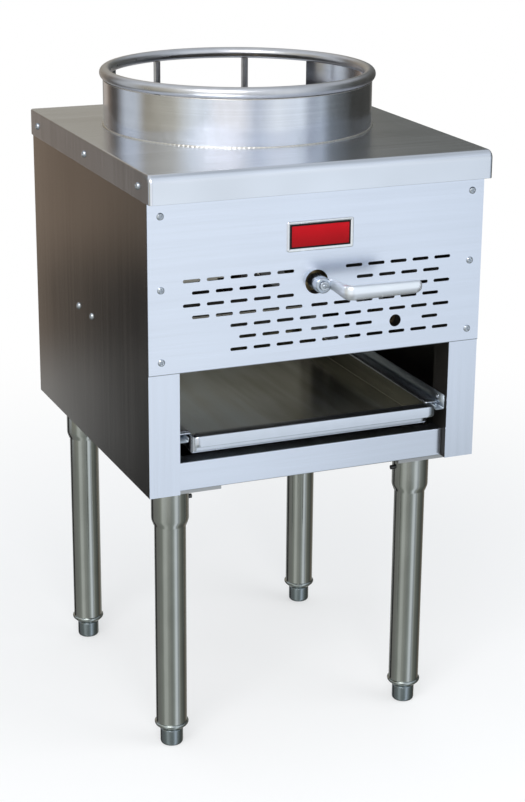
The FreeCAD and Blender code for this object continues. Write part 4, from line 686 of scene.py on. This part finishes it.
def screw_places(node, counts, radius):
    """Middles of a group's screws: evenly spread over the group's box, less a head's radius."""
    low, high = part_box(node)
    spans = []
    for axis, count in enumerate(counts):
        inset = radius if count else 0
        spans.append(np.linspace(low[axis] + inset, high[axis] - inset, count or 1))
    return [[x, y, z] for x in spans[0] for y in spans[1] for z in spans[2]]


SCREW_STEEL = alloy("screw_steel", (0.60, 0.64, 0.69), 0.16)
CAP_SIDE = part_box("top_cap")[1].x
SLIDE_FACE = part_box("right_tray_runner")[1].x - SHEET


def drive(name, node, counts, axis, face, way=1, radius=HEAD, rise=HEAD_RISE):
    """One group of screws, on a face across an axis or on one such face at each side. They point
    outwards, or inwards with way -1, each turned by its own angle as a hand leaves them."""
    heads = []
    for index, seat in enumerate(screw_places(node, counts, radius)):
        out = [0, 0, 0]
        out[axis] = way * math.copysign(1, seat[axis])
        seat[axis] = math.copysign(face, seat[axis])
        heads.append(pan_head(seat, out, radius, rise, 0.7 + 2.4 * index))
    mount(skin(name, *heads), SCREW_STEEL, "cabinet", "screw_steel", node)


drive("front_screws", "front_panel_screws", (2, 0, 3), Y, FRONT_FACE)
drive("back_screws", "back_panel_screws", (2, 0, 3), Y, BACK_FACE)
drive("cap_side_screws", "cap_screws", (2, 3, 1), X, CAP_SIDE)
drive("crossbar_screws", "side_panel_screws", (2, 2, 1), X, SIDE_FACE)
drive("slide_screws", "runner_screws", (2, 2, 1), X, SLIDE_FACE, way=-1, radius=0.0035, rise=0.0014)

WASHER, WASHER_RISE = 0.0058, 0.0024
LEVER_SHANK, LEVER_SHANK_LENGTH = 0.0024, 0.014
LEVER_HEAD, LEVER_HEAD_RISE = 0.0030, 0.0016
hub_face = FRONT_FACE - HUB_FRONT - 0.0003
washer = lathe([(LEVER_SHANK, -LEVER_SHANK_LENGTH), (LEVER_SHANK, 0), *rounded(
    [(LEVER_SHANK, 0), (WASHER, 0), (WASHER, WASHER_RISE), (LEVER_HEAD, WASHER_RISE)],
    [0.0002, 0.0009])[1:]], (STEM_X, hub_face, STEM_Z), (0, -1, 0), 48)
head = pan_head((STEM_X, hub_face - WASHER_RISE + 0.0001, STEM_Z), (0, -1, 0), LEVER_HEAD, LEVER_HEAD_RISE,
                turned=0.4, shank=0.001)
lever_screw = skin("lever_fixing_screw", washer, head)
mount(lever_screw, SCREW_STEEL, "lever", "screw_steel", "lever_screw")


# ------------------------------
# Drip tray: a pan folded from stainless sheet, with a hand lip in front and side flanges that
# hang in two folded runners. Grease has stained the pan's inside olive; its going lighter on
# the left and darkest on the right is painted light and shade.

PAN_HALF = 0.1644
PAN_FRONT, PAN_REAR = FRONT_FACE + 0.0181, FRONT_FACE + 0.4419
TRAY_LOW, TRAY_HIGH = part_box("drip_tray")
FLANGE_HALF = TRAY_HIGH.x - SHEET / 2
LIP_HALF = 0.1665
LIP_HEIGHT = 0.014
LIP_CORNER = 0.004
TIGHT_BEND = 0.0016
FLOOR_BEND = 0.003


def sheet_along(outline, start, stop, rows, sag=None):
    """A folded sheet: an outline of x and z carried along y in a straight line. Sag lowers a
    point of the pan's floor by so much, times one less the square of its place across the pan,
    times the sine of its place along it."""
    y = np.linspace(start, stop, rows)
    x = np.broadcast_to(outline[:, 0], (rows, len(outline)))
    z = np.broadcast_to(outline[:, 1], (rows, len(outline)))
    if sag:
        bowl = np.clip(1 - (x / (PAN_HALF - 0.006)) ** 2, 0, 1)
        z = z - sag * bowl * np.sin(np.linspace(0, np.pi, rows))[:, None]
    return np.stack([x, np.broadcast_to(y[:, None], x.shape), z], -1)


def sheet_across(half, outline):
    """A folded sheet: an outline of y and z carried across x, by a half width at each point."""
    x = half[:, None] * np.linspace(-1, 1, 41)
    return np.stack([x, np.broadcast_to(outline[:, :1], x.shape),
                     np.broadcast_to(outline[:, 1:], x.shape)], -1)


def tray_grids():
    """The tray's three folded sheets: pan and flanges along y, and the front and rear walls
    across x. The lip's half width follows a quarter circle near its lower edge."""
    floor, top = TRAY_LOW.z + SHEET / 2, TRAY_HIGH.z - SHEET / 2
    hem = TRAY_HIGH.z - 0.0065
    bends = [TIGHT_BEND, TIGHT_BEND, FLOOR_BEND, 0.0005]
    outline = rounded([(-FLANGE_HALF, hem), (-FLANGE_HALF, top), (-PAN_HALF, top), (-PAN_HALF, floor),
                       (-0.001, floor), (0.001, floor), (PAN_HALF, floor), (PAN_HALF, top),
                       (FLANGE_HALF, top), (FLANGE_HALF, hem)], bends + bends[::-1])
    flat = (np.abs(outline[:, 0]) < 0.002) & (outline[:, 1] < floor + 0.001)
    inner = np.column_stack([np.linspace(-0.15, 0.15, 31), np.full(31, floor)])
    before = outline[:np.argmax(flat)]
    after = outline[len(flat) - np.argmax(flat[::-1]):]
    pan = sheet_along(np.vstack([before, inner, after]), PAN_FRONT, PAN_REAR, 33, sag=0.0008)

    lip_y = TRAY_LOW.y + SHEET / 2
    wall = rounded([(PAN_FRONT + 0.006, floor - 0.0001), (PAN_FRONT, floor - 0.0001), (PAN_FRONT, top),
                    (lip_y, top), (lip_y, TRAY_HIGH.z - LIP_HEIGHT + LIP_CORNER)],
                   [FLOOR_BEND, TIGHT_BEND, 0.0018])
    corner = np.linspace(0, 1, 9)[1:]
    tail = np.column_stack([np.full(len(corner), lip_y),
                            TRAY_HIGH.z - LIP_HEIGHT + LIP_CORNER * (1 - corner)])
    rows_in_pan = 14
    half = np.where(np.arange(len(wall)) < rows_in_pan, PAN_HALF, LIP_HALF)
    tail_half = LIP_HALF - LIP_CORNER * (1 - np.sqrt(np.clip(1 - corner ** 2, 0, 1)))
    front = sheet_across(np.concatenate([half, tail_half]), np.vstack([wall, tail]))

    wall = rounded([(PAN_REAR - 0.006, floor - 0.0001), (PAN_REAR, floor - 0.0001), (PAN_REAR, TRAY_HIGH.z)],
                   [FLOOR_BEND])
    rear = sheet_across(np.full(len(wall), PAN_HALF), wall)
    return pan, front[:, ::-1], rear


tray_steel = Finish("tray_steel", (0.76, 0.80, 0.88), 1.0, 0.25)
grease = tray_steel.noise((7, 3, 7), 3.0, (3, 3, 3))
stroke = tray_steel.noise((45, 3, 45), 2.0)
inner = (tray_steel.between(abs(tray_steel.place(X)), PAN_HALF + 0.0006, PAN_HALF)
         * tray_steel.between(tray_steel.place(Y), PAN_FRONT + 0.0002, PAN_FRONT + 0.0008)
         * tray_steel.between(tray_steel.place(Z), TRAY_HIGH.z - 0.0004, TRAY_HIGH.z - 0.003))
# Olive grease stain, with painted light and shade: lighter to the left, darker to the right.
grease_and_painted_shade = tray_steel.node("ShaderNodeValToRGB", {"stops": [
    (0.20, (0.09, 0.08, 0.05)), (0.40, (0.36, 0.35, 0.28)), (0.58, (0.62, 0.64, 0.61)),
    (0.75, (0.72, 0.78, 0.82))]}, {0: grease * 0.6 + stroke * 0.4 - tray_steel.place(X) * 1.1})
clean = tray_steel.blend(stroke, (0.68, 0.72, 0.79, 1), (0.78, 0.82, 0.90, 1))
tray_steel.set(**{"Base Color": tray_steel.blend(inner, clean, grease_and_painted_shade), "Metallic": 1 - inner * 0.22,
                  "Roughness": stroke * 0.08 + 0.21 - inner * 0.08})
tray_steel.bump(tray_steel.noise((6, 9, 6), 1.0) * 0.3 + stroke * 0.005, 0.001)
tray = skin("tray_pan", *tray_grids(), around=False, lids=False, sharp=60)
folded(tray)
mount(tray, tray_steel.material, "tray", "tray_steel", "drip_tray")

RUNNER_STEEL = brushed("runner_steel", (0.42, 0.47, 0.52), (Y,), 0.36)
for side in ("left", "right"):
    low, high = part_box(f"{side}_tray_runner")
    out, into = (low.x, high.x) if side == "left" else (high.x, low.x)
    step = math.copysign(SHEET / 2, into - out)
    channel = rounded([(out + step, high.z), (out + step, low.z + SHEET / 2),
                       (into - step, low.z + SHEET / 2), (into - step, low.z + 0.006)], [0.0022, 0.0022])
    runner = skin(f"{side}_slide", sheet_along(channel, low.y, high.y, 12), around=False, lids=False,
                  sharp=60)
    folded(runner)
    mount(runner, RUNNER_STEEL, "cabinet", "runner_steel", f"{side}_tray_runner")


# ------------------------------
# Badge: a cast and chromed frame riveted to the front panel, round a plain plate of red
# enamel, which bulges a little. A thin black line at its edge is painted shadow of the frame,
# and the red's darkening towards the bottom is painted shade.

BADGE_LOW, BADGE_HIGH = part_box("badge_frame")
PLATE_LOW, PLATE_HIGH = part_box("badge_plate")
MOULDING = 0.0046
PAINTED_SHADOW_LINE = 0.0012
LINE_EDGE = 0.0003
BADGE_CORNER = 0.0026
PLATE_BULGE = 0.00035


def badge_frame():
    """A rounded moulding carried round a rectangle: each row is the rectangle inset by some
    distance, at some height in front of the panel."""
    rows = []
    crown, rise, step, foot = 0.0026, 0.0030, 0.0014, 0.0002
    moulding = rounded([(0, 0), (0, rise), (crown, rise), (MOULDING, step), (MOULDING, foot)],
                       [0.0013, 0.0012, 0.0006])
    for inset, height in moulding:
        line = round_rectangle(BADGE_LOW.x + inset, BADGE_HIGH.x - inset, BADGE_LOW.z + inset,
                               BADGE_HIGH.z - inset, max(BADGE_CORNER - inset, 0.0005))
        rows.append(np.column_stack([line[:, 0], np.full(len(line), FRONT_FACE - height), line[:, 1]]))
    return np.stack(rows)


def enamel_plate():
    """The plate: height grows from its edge as one less the fourth power of the place across,
    times the same along."""
    u, v = np.meshgrid(np.linspace(-1, 1, 41), np.linspace(-1, 1, 21))
    bulge = PLATE_BULGE * (1 - u ** 4) * (1 - v ** 4)
    x = (PLATE_LOW.x + PLATE_HIGH.x) / 2 + (PLATE_HIGH.x - PLATE_LOW.x) / 2 * u
    z = (PLATE_LOW.z + PLATE_HIGH.z) / 2 + (PLATE_HIGH.z - PLATE_LOW.z) / 2 * v
    return np.stack([x, PLATE_LOW.y - bulge, z], -1)


chrome = Finish("badge_chrome", (0.9, 0.92, 0.95), 1.0, 0.16)
haze = chrome.noise((260, 260, 260), 3.0)
chrome.set(**{"Roughness": haze * 0.10 + 0.11,
              "Base Color": chrome.blend(haze, (0.80, 0.81, 0.82, 1), (0.95, 0.96, 0.98, 1))})
chrome.bump(haze, 0.00006)
frame_piece = skin("badge_moulding", badge_frame(), lids=False, sharp=60)
mount(frame_piece, chrome.material, "cabinet", "badge_chrome", "badge_frame")

enamel = Finish("badge_red", (0.30, 0.005, 0.010), 0.0, 0.3)
enamel.set(**{"Specular IOR Level": 0.1})
# A thin black line round the plate's edge: painted shadow of the frame.
sides = []
for axis in (X, Z):
    middle = (PLATE_LOW[axis] + PLATE_HIGH[axis]) / 2
    black = (BADGE_HIGH[axis] - BADGE_LOW[axis]) / 2 - MOULDING - PAINTED_SHADOW_LINE
    sides.append(enamel.between(abs(enamel.place(axis) - middle), black - LINE_EDGE, black))
edge = enamel.maths("MAXIMUM", *sides)
ripple = enamel.noise((40, 40, 40), 2.0) * 0.012
# The red darkens towards the bottom: painted shade.
painted_shade_rise = enamel.between(enamel.place(Z) + ripple, PLATE_LOW.z, PLATE_HIGH.z + 0.012)
red = enamel.blend(painted_shade_rise, (0.18, 0.001, 0.003, 1), (0.32, 0.002, 0.006, 1))
enamel.set(**{"Base Color": enamel.blend(edge, red, (0.004, 0.004, 0.004, 1)), "Coat Weight": 0.05,
              "Roughness": enamel.noise((300, 300, 300), 2.0) * 0.12 + 0.24})
plate = skin("badge_enamel", enamel_plate(), around=False, lids=False)
mount(plate, enamel.material, "cabinet", "badge_red", "badge_plate")


# ------------------------------
# Studio: a white floor and background, soft lamps, and round the range a screen that only
# shiny metal sees, with the windows and dark walls of a made-up workshop.

FLOOR_HALF = 8.0
SHADOW_REACH = 0.5
FLOOR_FADE = 1.2


def studio_floor():
    """A white floor that keeps the shadow under the range and turns plain white further out."""
    corners = np.array([[(-1, -1, 0), (1, -1, 0)], [(-1, 1, 0), (1, 1, 0)]])
    floor = skin("floor", FLOOR_HALF * corners, around=False, lids=False)
    finish = Finish("floor_white", (0.95, 0.95, 0.95), 0.0, 0.9)
    distance = finish.node("ShaderNodeVectorMath", {"operation": "LENGTH"}, {0: finish.place()}, "Value")
    far = finish.between(distance, SHADOW_REACH, SHADOW_REACH + FLOOR_FADE) * 0.5 + 0.5
    seen = finish.node("ShaderNodeLightPath", {}, {}, "Is Camera Ray")
    plain = finish.node("ShaderNodeEmission", {}, {"Color": (1, 1, 1, 1)})
    painted = Wire(finish, finish.shader.outputs[0])
    finish.show(finish.node("ShaderNodeMixShader", {}, {0: far * seen, 1: painted, 2: plain}))
    floor.data.materials.append(finish.material)
    floor.visible_glossy = False


SCREEN_RADIUS = 3.0
SCREEN_LOW, SCREEN_HIGH = -2.0, 4.0
WALL_FOOT, WALL_BASE = -0.74, -0.40
WALL_TOP, CEILING = 0.3, 1.2
BENCH = (0.024, 0.025, 0.026)
PATCH = (0.44, 0.46, 0.47)
SKYLIGHT = (0.78, 0.84, 0.92)
SKY_FOOT, SKY_TOP = 1.9, 3.2
# What stands round the range, each an angle in degrees from the front towards the right and a
# colour: windows between brown and dark walls, what shows above them, and the ground below.
WALLS = [(-180, 0.50, 0.45, 0.40), (-167, 0.48, 0.42, 0.36), (-161, 0.20, 0.155, 0.12),
         (-153, 0.09, 0.08, 0.07), (-144, 0.09, 0.08, 0.07), (-130, 0.56, 0.60, 0.64),
         (-116, 0.56, 0.60, 0.64), (-105, 0.35, 0.32, 0.25), (-75, 0.52, 0.50, 0.42),
         (-59, 0.85, 0.90, 0.92), (-48, 0.78, 0.84, 0.88), (-39, 1.0, 1.0, 1.0),
         (-20, 1.0, 1.0, 1.0), (-7, 0.58, 0.63, 0.71), (11, 0.92, 0.97, 1.0),
         (24, 0.80, 0.86, 0.92), (33, 0.85, 0.92, 0.98), (40, 0.38, 0.42, 0.48),
         (52, 0.48, 0.54, 0.60), (61, 0.18, 0.20, 0.21), (90, 0.05, 0.05, 0.045),
         (130, 0.06, 0.06, 0.055), (150, 0.30, 0.29, 0.27)]
UPPER = [(-180, 0.35, 0.32, 0.26), (-168, 0.37, 0.32, 0.26), (-158, 0.19, 0.15, 0.11),
         (-145, 0.10, 0.09, 0.075), (-130, 0.60, 0.64, 0.68), (-116, 0.60, 0.64, 0.68),
         (-105, 0.40, 0.37, 0.30), (-76, 0.58, 0.56, 0.48), (-60, 0.90, 0.95, 0.97),
         (-38, 0.92, 0.92, 0.93), (-20, 0.92, 0.92, 0.93), (-7, 0.68, 0.74, 0.82),
         (11, 0.88, 0.92, 0.96), (32, 0.84, 0.90, 0.95), (41, 0.42, 0.46, 0.52),
         (52, 0.52, 0.58, 0.64), (62, 0.18, 0.20, 0.21), (90, 0.07, 0.07, 0.06),
         (130, 0.09, 0.09, 0.08), (150, 0.13, 0.13, 0.115), (160, 0.37, 0.34, 0.28)]
GROUND = [(-180, 0.30, 0.31, 0.30), (-172, 0.14, 0.14, 0.14), (-163, 0.36, 0.37, 0.38),
          (-158, 0.06, 0.06, 0.06), (-140, 0.20, 0.20, 0.19), (-104, 0.22, 0.23, 0.22),
          (-80, 0.26, 0.28, 0.26), (-64, 0.54, 0.57, 0.55), (-50, 0.50, 0.53, 0.51),
          (-38, 0.34, 0.36, 0.34), (-14, 0.25, 0.27, 0.26), (0, 0.36, 0.40, 0.39),
          (12, 0.78, 0.84, 0.90), (23, 0.74, 0.80, 0.86), (28, 0.36, 0.40, 0.44),
          (38, 0.40, 0.43, 0.42), (50, 0.20, 0.21, 0.19), (64, 0.15, 0.165, 0.15),
          (85, 0.09, 0.095, 0.09), (108, 0.16, 0.14, 0.11), (124, 0.32, 0.32, 0.30),
          (165, 0.34, 0.35, 0.34)]


def workshop_screen():
    """A drum that only shiny metal sees: a colour for each angle and height. Its rows are
    circles: the middle and edge of the floor, then the edge and middle of the ceiling."""
    turn = np.linspace(0, 2 * math.pi, 96, endpoint=False)
    circle = np.stack([np.cos(turn), np.sin(turn), np.zeros(len(turn))], 1)
    rows = [circle * radius + (0, 0, height) for radius, height in
            ((0.01, SCREEN_LOW), (SCREEN_RADIUS, SCREEN_LOW), (SCREEN_RADIUS, SCREEN_HIGH),
             (0.01, SCREEN_HIGH))]
    screen = skin("workshop", np.stack(rows), lids=False)
    finish = Finish("workshop_glow", (0, 0, 0), 0.0, 1.0)
    across, along, height = (finish.place(axis) for axis in (X, Y, Z))
    angle = finish.maths("ARCTAN2", across, along * -1) / (2 * math.pi) + 0.5
    walls, upper, ground = (
        finish.node("ShaderNodeValToRGB",
                    {"stops": [((degrees + 180) / 360, color) for degrees, *color in band]}, {0: angle})
        for band in (WALLS, UPPER, GROUND))
    to_wall = finish.between(height, WALL_FOOT, WALL_BASE)
    to_ceiling = finish.between(height, WALL_TOP, CEILING)
    # A dark bench stands behind on the left. Bearings run from straight behind.
    bearing = angle * 360
    bench = (finish.between(bearing, 17.5, 21) * finish.between(bearing, 46, 38)
             * finish.between(height, 0.04, -0.2))
    # Under it, further back, the floor is pale.
    patch = (finish.between(height, -0.28, -0.5) * finish.between(height, -0.85, -0.65)
             * finish.between(bearing, 22.5, 19) * 0.6)
    lower = finish.blend(bench, finish.blend(to_wall, ground, walls), (*BENCH, 1))
    lower = finish.blend(patch, lower, (*PATCH, 1))
    lit = finish.between(height, SKY_FOOT, SKY_TOP) * 0.6
    color = finish.blend(lit, finish.blend(to_ceiling, lower, upper), (*SKYLIGHT, 1))
    finish.show(finish.node("ShaderNodeEmission", {}, {"Color": color}))
    screen.data.materials.append(finish.material)
    screen.visible_camera = screen.visible_diffuse = screen.visible_transmission = False
    screen.visible_shadow = screen.visible_volume_scatter = False


studio_floor()
workshop_screen()

# The camera stands in front of the range, to its left and above it, as the photograph's did.
CAMERA_PLACE = Vector((-0.966531, -2.334144, 1.256135))
CAMERA_TURN = math.radians(22.8016511)
CAMERA_DROP = math.radians(18.3526485)
CAMERA_ROLL = math.radians(0.436818676)
FOCAL_PIXELS = 1937.50774
IMAGE_HEIGHT = 802
SENSOR = 36.0

camera_data = bpy.data.cameras.new("camera")
camera_data.sensor_width = SENSOR
camera_data.lens = FOCAL_PIXELS / IMAGE_HEIGHT * SENSOR
camera = bpy.data.objects.new("camera", camera_data)
camera.matrix_world = (
    Matrix.Translation(CAMERA_PLACE) @ Matrix.Rotation(-CAMERA_TURN, 4, "Z")
    @ Matrix.Rotation(math.pi / 2 - CAMERA_DROP, 4, "X") @ Matrix.Rotation(CAMERA_ROLL, 4, "Z"))
bpy.context.scene.collection.objects.link(camera)
bpy.context.scene.camera = camera

world = bpy.data.worlds.new("studio")
world.use_nodes = True
bpy.context.scene.world = world
nodes = world.node_tree.nodes
links = world.node_tree.links
path = nodes.new("ShaderNodeLightPath")
seen = path.outputs["Is Camera Ray"]
for ray in ("Is Glossy Ray", "Is Transmission Ray"):
    either = nodes.new("ShaderNodeMath")
    either.operation = "MAXIMUM"
    links.new(seen, either.inputs[0])
    links.new(path.outputs[ray], either.inputs[1])
    seen = either.outputs[0]
white = nodes.new("ShaderNodeBackground")
white.inputs["Color"].default_value = (1, 1, 1, 1)
soft = nodes["Background"]
soft.inputs["Color"].default_value = (0.9, 0.95, 1.0, 1)
soft.inputs["Strength"].default_value = 0.7
mix = nodes.new("ShaderNodeMixShader")
links.new(seen, mix.inputs[0])
links.new(soft.outputs[0], mix.inputs[1])
links.new(white.outputs[0], mix.inputs[2])
links.new(mix.outputs[0], nodes["World Output"].inputs["Surface"])


def lamp(name, place, size, power, shiny=True):
    """A soft square lamp aimed at the range. One that isn't shiny lights dull surfaces only."""
    data = bpy.data.lights.new(name, "AREA")
    data.size = size
    data.energy = power
    item = bpy.data.objects.new(name, data)
    item.location = place
    item.rotation_euler = (LAMP_AIM - Vector(place)).to_track_quat("-Z", "Y").to_euler()
    item.visible_camera = False
    item.visible_glossy = shiny
    bpy.context.scene.collection.objects.link(item)


LAMP_AIM = Vector((0, 0, 0.5))
lamp("key", (-1.6, -2.0, 2.6), 1.6, 40)
lamp("fill", (2.0, -1.6, 2.0), 2.0, 20, shiny=False)
lamp("bay", (-0.5, -2.6, 0.40), 0.6, 38, shiny=False)

bpy.context.scene.view_settings.view_transform = "Standard"
